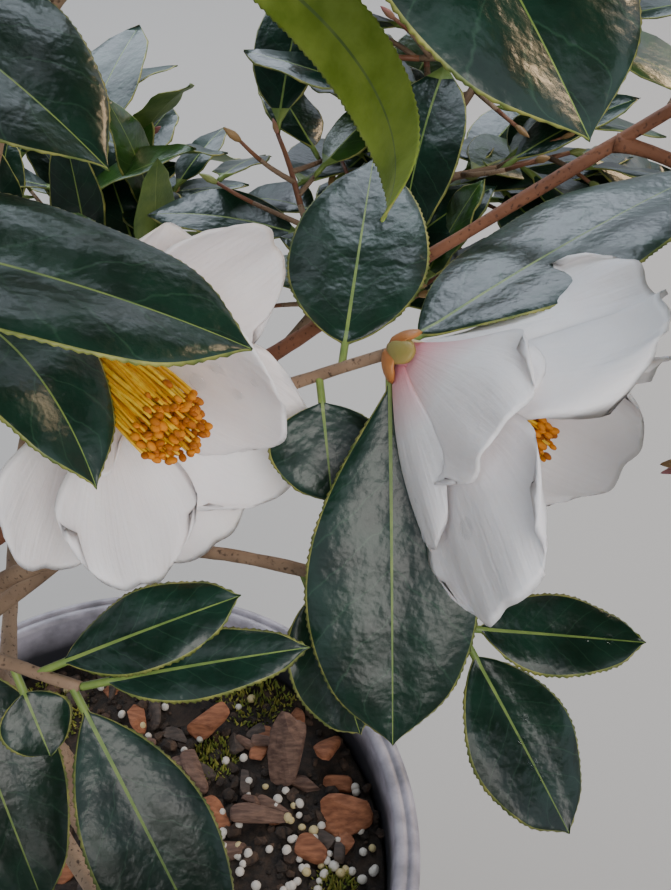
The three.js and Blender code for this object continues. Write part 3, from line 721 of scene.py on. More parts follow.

# Blooms placed at their limb's tip: heading and rise of the axis, length of the stamens, and the
# petals. A petal has its place round the axis, its opening at root and tip, its length and width, how its
# edges turn in at root and tip, its ruffle and that ruffle's phase. Some have where it is broadest, how
# narrow its claw stays, how fast the turned edge fades, a hook at the tip, a twist, or blush below.
KNOWN_BLOOMS = {
    "front_middle": dict(heading=-47, rise=-3, stamens=33, petals=[
        dict(around=89, open=(42, -2), size=(48, 44), cup=(44, 16), ruffle=1.6, phase=0.4, round=1.2),
        dict(around=48, open=(55, 100), size=(33, 42), cup=(40, 14), ruffle=2.2, phase=2.1, hook=20),
        dict(around=67, open=(60, 82), size=(45, 38), cup=(40, 20), ruffle=2, phase=1.2),
        dict(around=222, open=(50, 78), size=(46, 40), cup=(40, 12), ruffle=1.8, phase=3.0,
             broad=0.82, claw=2),
        dict(around=208, open=(36, 47), size=(50, 35), cup=(150, 8), ruffle=1.6, phase=4.2,
             broad=0.85, claw=3, furl=2.5),
        dict(around=170, open=(42, 60), size=(51, 42), cup=(44, 10), ruffle=1.8, phase=5.0),
        dict(around=133, open=(40, 50), size=(52, 40), cup=(40, 20), ruffle=2, phase=0.9),
    ]),
    "right_middle": dict(heading=-22, rise=-23, stamens=33, petals=[
        dict(around=14, open=(32, 52), size=(52, 46), cup=(48, 26), ruffle=3.4, phase=1.1, blush=1, hook=30),
        dict(around=35, open=(40, 52), size=(50, 36), cup=(40, 24), ruffle=2.8, phase=5.2,
             broad=0.85, claw=1.8, twist=50),
        dict(around=240, open=(62, 36), size=(40, 28), cup=(50, 34), ruffle=1.4, phase=0.3, blush=1),
        dict(around=271, open=(42, 54), size=(58, 40), cup=(40, 12), ruffle=3.2, phase=2.0,
             broad=0.78, claw=2, blush=1),
        dict(around=146, open=(30, 46), size=(56, 42), cup=(40, 16), ruffle=2.4, phase=2.9),
        dict(around=106, open=(4, 16), size=(55, 42), cup=(44, 20), ruffle=3.2, phase=4.0),
        dict(around=322, open=(34, 50), size=(33, 32), cup=(60, 44), ruffle=3.2, phase=0.7),
        dict(around=294, open=(24, 38), size=(27, 26), cup=(64, 50), ruffle=2.6, phase=1.9),
    ]),
}

# More petals of those two blooms: they stand inside the outline that the ones above give.
INNER_PETALS = {
    "front_middle": [
        dict(around=246, open=(40, 24), size=(30, 19), cup=(150, 120), ruffle=0.8, phase=0.2, claw=1),
    ],
    "right_middle": [
        dict(around=62, open=(20, 38), size=(56, 44), cup=(44, 24), ruffle=3.4, phase=3.3),
        dict(around=250, open=(34, 46), size=(36, 30), cup=(60, 44), ruffle=3.2, phase=5.5, blush=1),
        dict(around=304, open=(48, 62), size=(38, 36), cup=(56, 36), ruffle=3.6, phase=2.4, blush=1),
    ],
}


def aim(heading, rise):
    h, r = math.radians(heading), math.radians(rise)
    return np.array([math.cos(h) * math.cos(r), math.sin(h) * math.cos(r), math.sin(r)])


def heading_of(v):
    return math.degrees(math.atan2(v[1], v[0]))


def rise_of(v):
    return math.degrees(math.asin(v[2] / np.linalg.norm(v)))


def turned(v, axis, degrees):
    """v turned round an axis."""
    a = math.radians(degrees)
    return v * math.cos(a) + np.cross(axis, v) * math.sin(a) + axis * axis.dot(v) * (1 - math.cos(a))


def trace(curve, step):
    """Points along a curve, about a step apart, with their shares of it."""
    count = max(2, math.ceil(curve_length(curve) / step))
    return [(curve_point(curve, i / count), i / count) for i in range(count + 1)]


def part_of(curve, start, end):
    """The part of a curve with one bend between two shares of its length."""
    first = curve_point(curve, start)
    return np.array([first, first + curve_slope(curve, start) * (end - start) / 2, curve_point(curve, end)])


def leaf_axes(heading, rise, roll):
    axis = aim(heading, rise)
    side = unit(np.cross(axis, UP))
    normal = np.cross(side, axis)
    return axis, turned(side, axis, roll), turned(normal, axis, roll)


def leaf_slopes(ts, shape):
    heading, rise, roll, _, _, curl, bend, *_ = shape
    axis, side, normal = leaf_axes(heading, rise, roll)
    a, b = np.radians(curl * (ts - 0.25)), np.radians(bend * (ts - 0.3))
    return (np.outer(np.cos(a) * np.cos(b), axis) - np.outer(np.sin(a), normal)
            + np.outer(np.sin(b), side))


def leaf_points(root, shape):
    """Points spread over a leaf, for keeping leaves apart."""
    heading, rise, roll, length, width, curl, *_ = shape
    axis, side, normal = leaf_axes(heading, rise, roll)
    halves = (np.arange(SPINE_STEPS) + 0.5) / SPINE_STEPS

    def middle(t):
        return root + leaf_slopes(t * halves, shape).sum(axis=0) * length * t / SPINE_STEPS

    points = [middle(t) for t in (0.16, 0.36, 0.58, 0.8, 1)]
    fold = math.radians(LEAF_FOLD)
    for t, share in RING_SHARES:
        a = math.radians(curl * (t - 0.25))
        lifted = unit(normal * math.cos(a) + axis * math.sin(a))
        for turn in (-1, 1):
            half = width * share / 2
            points.append(middle(t) + side * turn * half * math.cos(fold) + lifted * half * math.sin(fold))
    return points


def petal_axes(axis, around):
    """Outward and sideways directions of a petal at a place round its bloom's axis."""
    upright = unit(UP - axis * UP.dot(axis))
    outward = turned(upright, axis, -around)
    return outward, np.cross(outward, axis)


def bloom_points(base, bloom):
    axis = aim(bloom["heading"], bloom["rise"])
    halves = (np.arange(SPINE_STEPS) + 0.5) / SPINE_STEPS
    points = []
    for petal in bloom["petals"]:
        outward, _ = petal_axes(axis, petal["around"])
        for t in (0.4, 0.7, 1):
            opened = np.radians(mix(*petal["open"], t * halves))
            slopes = np.outer(np.cos(opened), axis) + np.outer(np.sin(opened), outward)
            points.append(base + outward + slopes.sum(axis=0) * petal["size"][0] * t / SPINE_STEPS)
    return points


def common_bloom(heading, rise, draw):
    """The four broad petals of an open bloom that its solid has."""
    petals = []
    for i in range(4):
        opened = mix(44, 60, draw())
        around = i * 90 + 16 * draw()
        size = mix(38, 44, draw()), mix(34, 40, draw())
        petals.append(dict(around=around, open=(opened - 14, opened + 20), size=size))
    return dict(heading=heading, rise=rise, stamens=20, petals=petals)


def in_opening(points):
    away = points - OPENING_POINT
    depth = np.maximum(away @ aim(90, -OPENING_PITCH), 1e-6)
    upward = away @ aim(90, 90 - OPENING_PITCH) / depth
    inside = (np.abs(away[:, 0] / depth) <= OPENING_HALF_WIDTH) & (np.abs(upward) <= OPENING_HALF_HEIGHT)
    inside &= (depth < OPENING_DEPTH) | (upward < OPENING_CLEAR_BELOW)
    return inside & (away @ aim(90, -OPENING_PITCH) > 0) | (np.linalg.norm(away, axis=1) < OPENING_CLEARANCE)


# What stands already: points of the limbs with their radius, of the stems, and of all that has grown
mass_number = {row["name"]: number for number, row in enumerate(LIMBS)}
limb_marks = [(*p, mix(TRUNK_RADIUS, FORK_RADIUS, t)) for p, t in trace(TRUNK, 5)]
stem_marks = []
for row in LIMBS:
    for p, t in trace(part_of(curves[row["name"]], 0, row["enters"]), 5):
        limb_marks.append((*p, mix(*row["radii"], t)))
    for p, _ in trace(part_of(curves[row["name"]], row["enters"], 1), 8):
        stem_marks.append((*p, mass_number[row["name"]]))
limb_marks, stem_marks = np.array(limb_marks), np.array(stem_marks)
standing = np.zeros((MOST_MARKS, 4))
standing_count = 0


def distances(points, marks):
    return np.linalg.norm(points[:, None] - marks[None, :, :3], axis=-1)


def is_free(points, mass, root, own_apart=LEAF_APART):
    """Whether a new twig, leaf or bloom of a mass may stand where these points are."""
    points = np.array(points)
    if (points[:, 2] < LOWEST_LEAF).any() or in_opening(points).any():
        return False
    to_stems = distances(points, stem_marks)
    if (stem_marks[to_stems.argmin(axis=1), 3] != mass).any():
        return False
    if (distances(points, limb_marks) < limb_marks[:, 3] + LIMB_APART).any():
        return False
    if (to_stems[:, stem_marks[:, 3] != mass] < MASSES_APART).any():
        return False
    others = standing[:standing_count]
    own = others[:, 3] == mass
    near = distances(points, others) < np.where(own, own_apart, MASSES_APART)
    far_from_root = np.linalg.norm(points - root, axis=1) > ROOT_ZONE
    return not (near & (~own | far_from_root[:, None])).any()


def add_standing(points, mass):
    global standing_count
    points = np.array(points)
    standing[standing_count:standing_count + len(points), :3] = points
    standing[standing_count:standing_count + len(points), 3] = mass
    standing_count += len(points)


grown_leaves = []
grown_twigs = []
grown_blooms = []

for row in LIMBS:
    name, mass = row["name"], mass_number[row["name"]]
    for share, *shape in KNOWN_LEAVES.get(name, []):
        root = curve_point(curves[name], share)
        add_standing(leaf_points(root, shape), mass)
        grown_leaves.append(dict(mass=mass, root=root, shape=shape, known=True, twig=None))
    if name in KNOWN_BLOOMS:
        base, bloom = np.array(row["tip"], float), KNOWN_BLOOMS[name]
        add_standing(bloom_points(base, bloom), mass)
        grown_blooms.append(dict(mass=mass, base=base, bloom=bloom, known=name))


def grow_leaf(mass, root, heading, rise, draw, twig=None, scale=1.0):
    """One leaf at a node of a twig, turned another way where it has no room."""
    for attempt in range(LEAF_ATTEMPTS):
        length = LEAF_LENGTH * mix(0.76, 1.14, draw()) * scale
        width = length * LEAF_SHAPE * mix(0.92, 1.1, draw())
        turned_to = heading + attempt * mix(-40, 40, draw())
        lifted = rise + attempt * mix(-16, 30, draw())
        curl = mix(4, 30, draw())
        shape = [turned_to, lifted, mix(-16, 16, draw()), length, width, curl, mix(-14, 14, draw())]
        points = leaf_points(root, shape)
        if is_free(points[1:], mass, root):
            add_standing(points, mass)
            grown_leaves.append(dict(mass=mass, root=root, shape=shape, known=False, twig=twig))
            return


def grow_twig(row, root, heading, rise, length, draw):
    """A side twig with its leaves: alternate along it, and one more at its tip."""
    mass = mass_number[row["name"]]
    tip = root + aim(heading, rise) * length
    line = np.array([root, (root + tip) / 2, tip])
    points = [p for p, _ in trace(line, 6)]
    if not is_free(points[3:], mass, root):
        return None
    add_standing(points, mass)
    twig = dict(mass=mass, root=root, tip=tip, heading=heading, rise=rise, length=length)
    grown_twigs.append(twig)
    nodes = math.floor(length / NODE_SPACING)
    for i in range(1, nodes + 1):
        turn = mix(-12, 12, draw()) if i == nodes else (1 if i % 2 else -1) * mix(44, 64, draw())
        leaf_rise = mix(-30, 20, draw()) + rise * 0.35
        grow_leaf(mass, curve_point(line, i / nodes), heading + turn, leaf_rise, draw, (twig, i / nodes))
    return twig


def grow_mass(row):
    """The side twigs of a mass a golden angle apart, one of them with a bloom, and the stem's end leaves."""
    curve, mass, draw = curves[row["name"]], mass_number[row["name"]], random_from(row["seed"])
    blooms = 0
    for i in range(row["twigs"]):
        share = mix(row["enters"] + 0.04, 0.98, (i + 0.5) / row["twigs"])
        turn = 40 * draw()
        out = aim(i * GOLDEN_ANGLE + turn, mix(-22, 50, draw()))
        direction = unit(out + 0.4 * unit(curve_slope(curve, share)))
        length = row["reach"] * mix(1, 0.62, (i + 0.5) / row["twigs"]) * mix(0.82, 1.08, draw())
        root = curve_point(curve, share)
        twig = grow_twig(row, root, heading_of(direction), rise_of(direction), length, draw)
        if twig and i >= row.get("bloom_from", row["twigs"]) and blooms == 0:
            bloom = common_bloom(twig["heading"], twig["rise"] + 15, draw)
            points = bloom_points(twig["tip"], bloom)
            if is_free(points, mass, twig["tip"], BLOOM_APART):
                add_standing(points, mass)
                grown_blooms.append(dict(mass=mass, base=twig["tip"], bloom=bloom, known=None))
                blooms += 1
    if row["twigs"] > 0:
        slope = curve_slope(curve, 1)
        for share, turn, leaf_rise in ((1, 0, 30), (0.96, 120, 20), (0.92, -120, 10)):
            grow_leaf(mass, curve_point(curve, share), heading_of(slope) + turn, leaf_rise, draw)


for row in LIMBS:
    grow_mass(row)


# The side twigs
# This year's and last year's shoots, thin as wire and slightly zigzag from leaf to leaf, brown at
# the foot and green to red at the end. Finer ones stand between those of the solids, within the
# same reach. They grow out of the stems, and each ends in a pointed bud.

FINE_TWIGS = 5
STEM_TWIGS = 9
FINE_LENGTHS = 14, 30
FINE_APART = 3
FINE_REACH = 4
FINE_LEAF_SCALES = 0.55, 0.85
TWIG_TIP_RADIUS = 0.8
# The leaves of a fine twig: how far along it each is, and which way it turns
FINE_LEAVES = (0.5, 55), (1, 0), (1, -70)


def within_reach(points, mass):
    """Whether points stay inside the box of the mass's own solid, or within FINE_REACH of it."""
    low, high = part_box("foliage_" + LIMBS[mass]["name"])
    inside = (points > np.array(low) / MM - FINE_REACH) & (points < np.array(high) / MM + FINE_REACH)
    return inside.all()


def grow_fine_twig(mass, root, heading, rise, draw, parent=None):
    """A short twig with one to three smaller leaves, where there is room for it."""
    tip = root + aim(heading, rise) * mix(*FINE_LENGTHS, draw())
    points = np.array([root + (tip - root) * s for s in (0, 0.35, 0.7, 1)])
    if not is_free(points[2:], mass, root, FINE_APART) or not within_reach(points, mass):
        return
    add_standing(points, mass)
    length = np.linalg.norm(tip - root)
    twig = dict(mass=mass, root=root, tip=tip, heading=heading, rise=rise, length=length, parent=parent)
    grown_twigs.append(twig)
    for share, turn in FINE_LEAVES:
        before = len(grown_leaves)
        scale = mix(*FINE_LEAF_SCALES, draw())
        leaf_rise = rise * 0.5 + mix(-20, 20, draw())
        grow_leaf(mass, root + (tip - root) * share, heading + turn, leaf_rise, draw, (twig, share), scale)
        if len(grown_leaves) > before:
            leaf = grown_leaves[-1]
            if not within_reach(np.array(leaf_points(leaf["root"], leaf["shape"])), mass):
                grown_leaves.pop()


def grow_fine_twigs(parents):
    """Short twigs between the leaves of each side twig."""
    for number, parent in enumerate(parents):
        draw = random_from(500 + number)
        for i in range(FINE_TWIGS):
            share = mix(0.2, 0.9, (i + draw()) / FINE_TWIGS)
            root = parent["root"] + (parent["tip"] - parent["root"]) * share
            heading = parent["heading"] + (1 if i % 2 else -1) * mix(36, 78, draw())
            rise = parent["rise"] * 0.4 + mix(-24, 48, draw())
            grow_fine_twig(parent["mass"], root, heading, rise, draw, (parent, share))


def grow_stem_twigs():
    """Short twigs straight out of each stem, where it is bare."""
    for row in LIMBS:
        draw = random_from(700 + row["seed"])
        for i in range(STEM_TWIGS if row["twigs"] else 0):
            share = mix(row["enters"], 0.98, (i + draw()) / STEM_TWIGS)
            root = curve_point(curves[row["name"]], share)
            heading, rise = i * GOLDEN_ANGLE + 60, mix(-20, 50, draw())
            grow_fine_twig(mass_number[row["name"]], root, heading, rise, draw)


grow_fine_twigs(list(grown_twigs))
grow_stem_twigs()


def twig_line(twig, ts):
    """The twig's own line: bowed a little, and turned a little at each leaf."""
    root, tip = twig["root"], twig["tip"]
    if twig.get("parent"):
        parent, share = twig["parent"]
        straight = parent["root"] + (parent["tip"] - parent["root"]) * share
        root = root + twig_line(parent, np.array([share]))[0] - straight
    along = unit(tip - root)
    side = unit(np.cross(along, UP))
    over = np.cross(side, along)
    bow = 0.05 * twig["length"] * np.sin(math.pi * ts) * math.sin(twig["heading"] * 3.1)
    zigzag = 0.35 * np.sin(math.pi * ts * max(1, twig["length"] // NODE_SPACING))
    return root + np.outer(ts, tip - root) + np.outer(bow, over) + np.outer(zigzag, side)


def twig_tubes():
    """The brown part of each twig, and the green end of it."""
    parts = []
    for twig in grown_twigs:
        fine = "parent" in twig
        thick, thin = (0.9, 0.55) if fine else (TWIG_RADIUS * 1.15, TWIG_TIP_RADIUS * 0.85)
        steps = 6 if fine else 10
        ts = np.linspace(0, 1, steps)
        radii = np.linspace(thick, thin, steps)
        line = twig_line(twig, ts)
        brown = steps // 2
        parts.append(tube(line[:brown + 1], radii[:brown + 1], 7, 0))
        parts.append(tube(line[brown:], radii[brown:], 7, 2 if twig["mass"] % 3 else 1))
    return parts


def buds():
    """A pointed bud of overlapping scales at the end of each twig."""
    parts = []
    for number, twig in enumerate(grown_twigs):
        draw = random_from(900 + number)
        tip = twig_line(twig, np.array([1.0]))[0]
        length, width = mix(4.5, 7.5, draw()), mix(1.8, 2.6, draw())
        slim = BALL_80.copy()
        slim[:, :2] *= 1 - 0.55 * np.clip(BALL_80[:, 2:], 0, 1)
        slim = slim * np.array([width, width, length]) / 2 + np.array([0, 0, length * 0.42])
        bud = facing(slim, tip, aim(twig["heading"], twig["rise"]))
        parts.append((bud, [FACES_80], int(3 * draw()), None))
    return parts


def facing(points, place, direction):
    """Points built round +Z, turned to a direction and set down at a place."""
    turned_to = Vector(direction).to_track_quat("Z", "Y").to_matrix()
    return points @ np.array(turned_to).T + place


def young_shoot(name, colour, second):
    """This year's shoot: a thin waxy skin, with a low gloss."""
    made, tree, shader = material(name, colour, Roughness=0.5, IOR=1.45)
    two_tone(tree, shader, colour, second, ranged(tree, grain(tree, 6, 3), 0.35, 0.65))
    bumped(tree, shader, grain(tree, 0.8), 0.08)
    return made


shoots = [
    barks[0],
    young_shoot("red_shoot", "7a4a38", "8a5f44"),
    young_shoot("green_shoot", "6d7a3e", "7f6a45"),
]
on_plant(joined_mesh("side_twigs", twig_tubes(), shoots), "bark")
bud_skins = [
    young_shoot("green_bud", "7f8a4a", "98a05c"),
    young_shoot("brown_bud", "8a6a44", "a58457"),
    young_shoot("pink_bud", "a8606a", "9a7a55"),
]
on_plant(joined_mesh("leaf_buds", buds(), bud_skins), "foliage")


# The leaves
# Evergreen, leathery, two to ten centimetres: dark green and glossy above, with a yellow-green
# midrib and a fine saw edge of yellowish teeth, paler and matt below. Each blade is one thin shell on
# a short stalk that sits on its twig.

LEAF_SKIN = 0.45
STALK = 6
STALK_RADIUS = 0.85
MIDRIB_HALF = 0.36
COMMON_WIDEST = 0.44
EDGE_BAND = 0.3
TOOTH_SPACING = 1.5
TOOTH_SIZE = 0.5
TIP_HALF = 0.04
CYCLE = 6.28
TOP, YOUNG_BACKLIT_TOP, UNDERSIDE, MIDRIB, EDGE, SECOND_TOP, YOUNG_BACKLIT_UNDERSIDE = range(7)
GREENER_EVERY = 7
GREENER_FIRST = 3
NEAR_OPENING = 240
# A leaf's cells along it, and between midrib and edge: a known one has three to each tooth along it
CELLS_PER_TOOTH = 3
KNOWN_ACROSS = 4
CLOSE_CELLS = 26, 2
FAR_CELLS = 14, 1


def sheet(points, normals, thickness):
    """A closed thin shell over a grid of points, its edge shared by both faces."""
    rows, columns = thickness.shape
    inner = np.zeros((rows, columns), bool)
    inner[1:-1, 1:-1] = True
    half = np.where(inner, thickness / 2, 0)[..., None]
    above, below = points + normals * half, points - normals * half
    top = np.arange(rows * columns).reshape(rows, columns)
    under = top.copy()
    under[inner] = rows * columns + np.arange(inner.sum())
    vertices = np.concatenate([above.reshape(-1, 3), below[inner]])
    top_faces = np.stack([top[:-1, :-1], top[:-1, 1:], top[1:, 1:], top[1:, :-1]], axis=-1).reshape(-1, 4)
    under_faces = np.stack([under[:-1, :-1], under[1:, :-1], under[1:, 1:], under[:-1, 1:]], axis=-1)
    return vertices, [top_faces, under_faces.reshape(-1, 4)], inner


def blade_half(t, widest):
    """The outline of a camellia leaf: half of its width as a share, along the blade."""
    t = np.clip(t, 0, 1)
    point = 0.8 - 0.22 * t + 0.5 * np.clip((t - 0.84) / 0.16, 0, 1) ** 1.5
    return np.sin(math.pi * t ** (math.log(0.5) / math.log(widest))) ** point * (1 - 0.06 * t)


def leaf_part(leaf, number, rows, across, skin):
    """One leaf: `rows` cells along it, `across` between midrib and edge on each side."""
    draw = random_from(2000 + number)
    heading, rise, roll, length, width, curl, bend, *widest = leaf["shape"]
    fold = math.radians(mix(9, 15, draw()) if leaf["known"] else mix(8, 22, draw()))
    ts = np.linspace(0, 1, rows + 1)
    middles = (ts[1:] + ts[:-1]) / 2
    spine = np.vstack([np.zeros(3), np.cumsum(leaf_slopes(middles, leaf["shape"]) * length / rows, axis=0)])
    spine = spine + leaf["root"]
    side = leaf_axes(heading, rise, roll)[1]
    slopes = leaf_slopes(ts, leaf["shape"])
    slopes /= np.linalg.norm(slopes, axis=1)[:, None]
    sides = side - slopes * (slopes @ side)[:, None]
    sides /= np.linalg.norm(sides, axis=1)[:, None]
    normals = np.cross(sides, slopes)

    stalk = STALK / length
    along_blade = np.clip((ts - stalk) / (1 - stalk), 0, 1)
    outline = width / 2 * blade_half(along_blade, *(widest or [COMMON_WIDEST]))
    half = np.maximum(outline, np.where(ts < 0.5, STALK_RADIUS, TIP_HALF))
    teeth = rows // CELLS_PER_TOOTH if leaf["known"] else rows // 2
    phase = (along_blade * teeth) % 1
    tooth = TOOTH_SIZE * phase * (along_blade > 0.1) * (along_blade < 0.97)
    rib = np.minimum(MIDRIB_HALF * (1.25 - ts), half * 0.5)
    band = np.minimum(EDGE_BAND, half * 0.3)
    steps = np.linspace(0, 1, across + 1)
    out = [rib[:, None] + (half - band - rib)[:, None] * steps, (half + tooth)[:, None]]
    out = np.hstack([np.zeros((rows + 1, 1)), *out])
    x = np.hstack([-out[:, :0:-1], out])
    share = np.abs(x) / half[:, None]
    blade = np.clip((ts - stalk) / 0.05, 0, 1)[:, None]

    lift = np.abs(x) * math.sin(fold) - 0.16 * half[:, None] * share ** 2.4
    ripple = mix(0.25, 0.8, draw())
    first, second, speed = CYCLE * draw(), CYCLE * draw(), mix(1.6, 3.1, draw())
    swing = CYCLE * speed * ts[:, None]
    waves = np.where(x > 0, np.sin(swing + first), np.sin(swing + second))
    lift = lift + ripple * waves * share ** 2
    veins = np.sin(CYCLE * (7.5 * along_blade[:, None] - 1.6 * share))
    lift = lift + 0.05 * veins * np.clip(share * (1 - share) * 4, 0, 1) * blade
    lift = lift * blade + np.where(x == 0, 0.22 * (1 - ts)[:, None], 0)
    points = spine[:, None] + x[..., None] * math.cos(fold) * sides[:, None]
    points = points + lift[..., None] * normals[:, None]
    round_stalk = 2 * STALK_RADIUS * np.sqrt(np.clip(1 - share ** 2, 0, 1))
    thickness = round_stalk * (1 - blade) + LEAF_SKIN * blade
    normals = np.broadcast_to(normals[:, None], points.shape)
    vertices, faces, inner = sheet(points, normals, thickness)

    columns = x.shape[1] - 1
    pick_top = np.full((rows, columns), skin)
    pick_top[:, [0, -1]] = EDGE
    middle = columns // 2
    pick_top[:, [middle - 1, middle]] = MIDRIB
    pick_top[ts[:-1] < stalk] = MIDRIB
    pick_under = np.full((rows, columns), YOUNG_BACKLIT_UNDERSIDE if skin == YOUNG_BACKLIT_TOP else UNDERSIDE)
    pick_under[:, [middle - 1, middle]] = MIDRIB
    pick_under[ts[:-1] < stalk] = MIDRIB
    over = 0.5 + 0.5 * np.sign(x) * share
    place = np.stack([over, np.broadcast_to(along_blade[:, None], x.shape)], axis=-1)
    place = np.vstack([place.reshape(-1, 2), place[inner]])
    return (vertices, faces, np.concatenate([pick_top.ravel(), pick_under.ravel()]), place), points, normals


def leaf_root(leaf):
    """A leaf stands on its twig's own line."""
    if leaf["twig"] is None:
        return leaf["root"]
    twig, share = leaf["twig"]
    return twig_line(twig, np.array([share]))[0]


def leathery_leaf(name, colour, second, vein, gloss):
    """A leathery evergreen blade: a waxed, glossy skin over dark green, with a net of fine veins that
    shows as faint lines between midrib and edge."""
    made, tree, shader = material(name, colour, Roughness=gloss, IOR=1.42)
    shader.inputs["Coat Weight"].default_value = 0.12
    shader.inputs["Coat Roughness"].default_value = 0.18
    patches = ranged(tree, grain(tree, 9, 4), 0.35, 0.65)
    blend = add(tree, "ShaderNodeMix", {0: patches}, data_type="RGBA")
    blend.inputs[6].default_value = linear(colour)
    blend.inputs[7].default_value = linear(second)
    spot = add(tree, "ShaderNodeSeparateXYZ", {0: add(tree, "ShaderNodeTexCoord").outputs["UV"]})
    across = add(tree, "ShaderNodeMath", {0: spot.outputs[0]}, operation="SUBTRACT")
    across.inputs[1].default_value = 0.5
    away = add(tree, "ShaderNodeMath", {0: across.outputs[0]}, operation="ABSOLUTE").outputs[0]
    slant = add(tree, "ShaderNodeMath", {0: away}, operation="MULTIPLY")
    slant.inputs[1].default_value = -3.2
    line = add(tree, "ShaderNodeMath", {0: spot.outputs[1], 2: slant.outputs[0]}, operation="MULTIPLY_ADD")
    line.inputs[1].default_value = 7.5
    wander = add(tree, "ShaderNodeMath", {0: grain(tree, 5, 2), 2: line.outputs[0]}, operation="MULTIPLY_ADD")
    wander.inputs[1].default_value = 0.5
    cycle = add(tree, "ShaderNodeMath", {0: wander.outputs[0]}, operation="PINGPONG")
    cycle.inputs[1].default_value = 0.5
    thin = ranged(tree, cycle.outputs[0], 0.04, 0.0)
    faint = ranged(tree, thin, 0, 1, 0, 0.3)
    veined = add(tree, "ShaderNodeMix", {0: faint, 6: blend.outputs[2]}, data_type="RGBA")
    veined.inputs[7].default_value = linear(vein)
    tree.links.new(veined.outputs[2], shader.inputs["Base Color"])
    fine, coarse = grain(tree, 1.4, 3), grain(tree, 8, 3)
    quilted = add(tree, "ShaderNodeMath", {0: fine, 2: coarse}, operation="MULTIPLY_ADD")
    quilted.inputs[1].default_value = 0.12
    bumped(tree, shader, quilted.outputs[0], 0.9)
    return made


def leaf_underside(name, colour, second):
    """The unwaxed lower skin of the leaf: paler, yellower and matt."""
    made, tree, shader = material(name, colour, Roughness=0.55, IOR=1.42)
    two_tone(tree, shader, colour, second, ranged(tree, grain(tree, 8, 4), 0.35, 0.65))
    bumped(tree, shader, grain(tree, 1.1, 4), 0.15)
    return made


def leaf_rib(name, colour, second):
    """Midrib, stalk and tooth tips: firm, smooth and yellow-green."""
    made, tree, shader = material(name, colour, Roughness=0.45, IOR=1.45)
    two_tone(tree, shader, colour, second, ranged(tree, grain(tree, 4, 2), 0.35, 0.65))
    bumped(tree, shader, grain(tree, 0.9), 0.05)
    return made


# The young leaf's two skins are yellow-green partly by its own young colour and partly as painted backlight
# shining through the blade, most on the underside.
leaf_skins = [
    leathery_leaf("glossy_dark_leaf", "10241a", "193528", "3f6149", 0.28),
    leathery_leaf("glossy_young_backlit_leaf", "6f8c1e", "8ba62c", "c3d063", 0.34),
    leaf_underside("leaf_underside", "4a6630", "6d8440"),
    leaf_rib("leaf_midrib", "667f3c", "7f9348"),
    leaf_rib("leaf_edge", "5d6c34", "99984e"),
    leathery_leaf("glossy_green_leaf", "223d18", "33561f", "5f7f45", 0.3),
    leaf_underside("young_backlit_leaf_underside", "7c9428", "a0b444"),
]

# The leaf in the young skins: its yellow-green is partly young growth and partly painted backlight.
YOUNG_BACKLIT_LEAVES = {("upper_right", 0)}
LEAF_GROUPS = {
    "leaves_of_right_boughs": ("right_middle", "right_low", "right_high", "right_side", "front_right"),
    "leaves_of_front_boughs": ("front_low", "front_middle", "front_high", "front_left"),
    "leaves_of_left_boughs": ("left_high", "left_low", "back_left"),
    "leaves_of_back_boughs": ("back_high", "back_right", "back_low"),
    "leaves_of_top": ("leader", "upper_right"),
}

known_surfaces = {}
leaf_parts = {name: [] for name in LEAF_GROUPS}
group_of = {mass_number[mass]: group for group, masses in LEAF_GROUPS.items() for mass in masses}
seen_known = {}
for number, leaf in enumerate(grown_leaves):
    leaf = dict(leaf, root=leaf_root(leaf))
    mass_name = LIMBS[leaf["mass"]]["name"]
    length = leaf["shape"][3]
    if leaf["known"]:
        order = seen_known.get(mass_name, 0)
        seen_known[mass_name] = order + 1
        rows, across = CELLS_PER_TOOTH * round(length / TOOTH_SPACING), KNOWN_ACROSS
        skin = YOUNG_BACKLIT_TOP if (mass_name, order) in YOUNG_BACKLIT_LEAVES else TOP
    else:
        close = np.linalg.norm(leaf["root"] - OPENING_POINT) < NEAR_OPENING
        rows, across = CLOSE_CELLS if close else FAR_CELLS
        skin = SECOND_TOP if number % GREENER_EVERY == GREENER_FIRST else TOP
    part, surface, facings = leaf_part(leaf, number, rows, across, skin)
    leaf_parts[group_of[leaf["mass"]]].append(part)
    if leaf["known"]:
        known_surfaces[(mass_name, order)] = (surface, facings)

for group, parts in leaf_parts.items():
    piece = joined_mesh(group, parts, leaf_skins)
    on_plant(piece, "foliage", *["foliage_" + mass for mass in LEAF_GROUPS[group]])


# The blooms
# Open white flowers with a faint blush, eight to nine centimetres across: two or three rings of broad,
# thin, wrinkled petals round a bunch of golden filaments with orange anthers, on a cup of brown bud
# scales. Each sits stalkless at the end of its twig.

PETAL_SKIN = 0.5
SCALE_SKIN = 0.6
CUP_SCALES = 6
INNER_RING = 5
KNOWN_BLOOM_CELLS = 28
KNOWN_BLOOM_STAMENS = 170
OPEN_BLOOM_CELLS = 14
OPEN_BLOOM_STAMENS = 46
COLUMN_FOOT = 2.5
WHITE, CREAM, BLUSH = 0, 1, 2


def crinkle(x, y, phase):
    """Fine folds that fan out along a petal, from -1 to 1."""
    folds = noise.noise(Vector((x / 3.4, y / 11, phase)))
    return folds + 0.45 * noise.noise(Vector((x / 1.5, y / 4.5, phase + 7)))


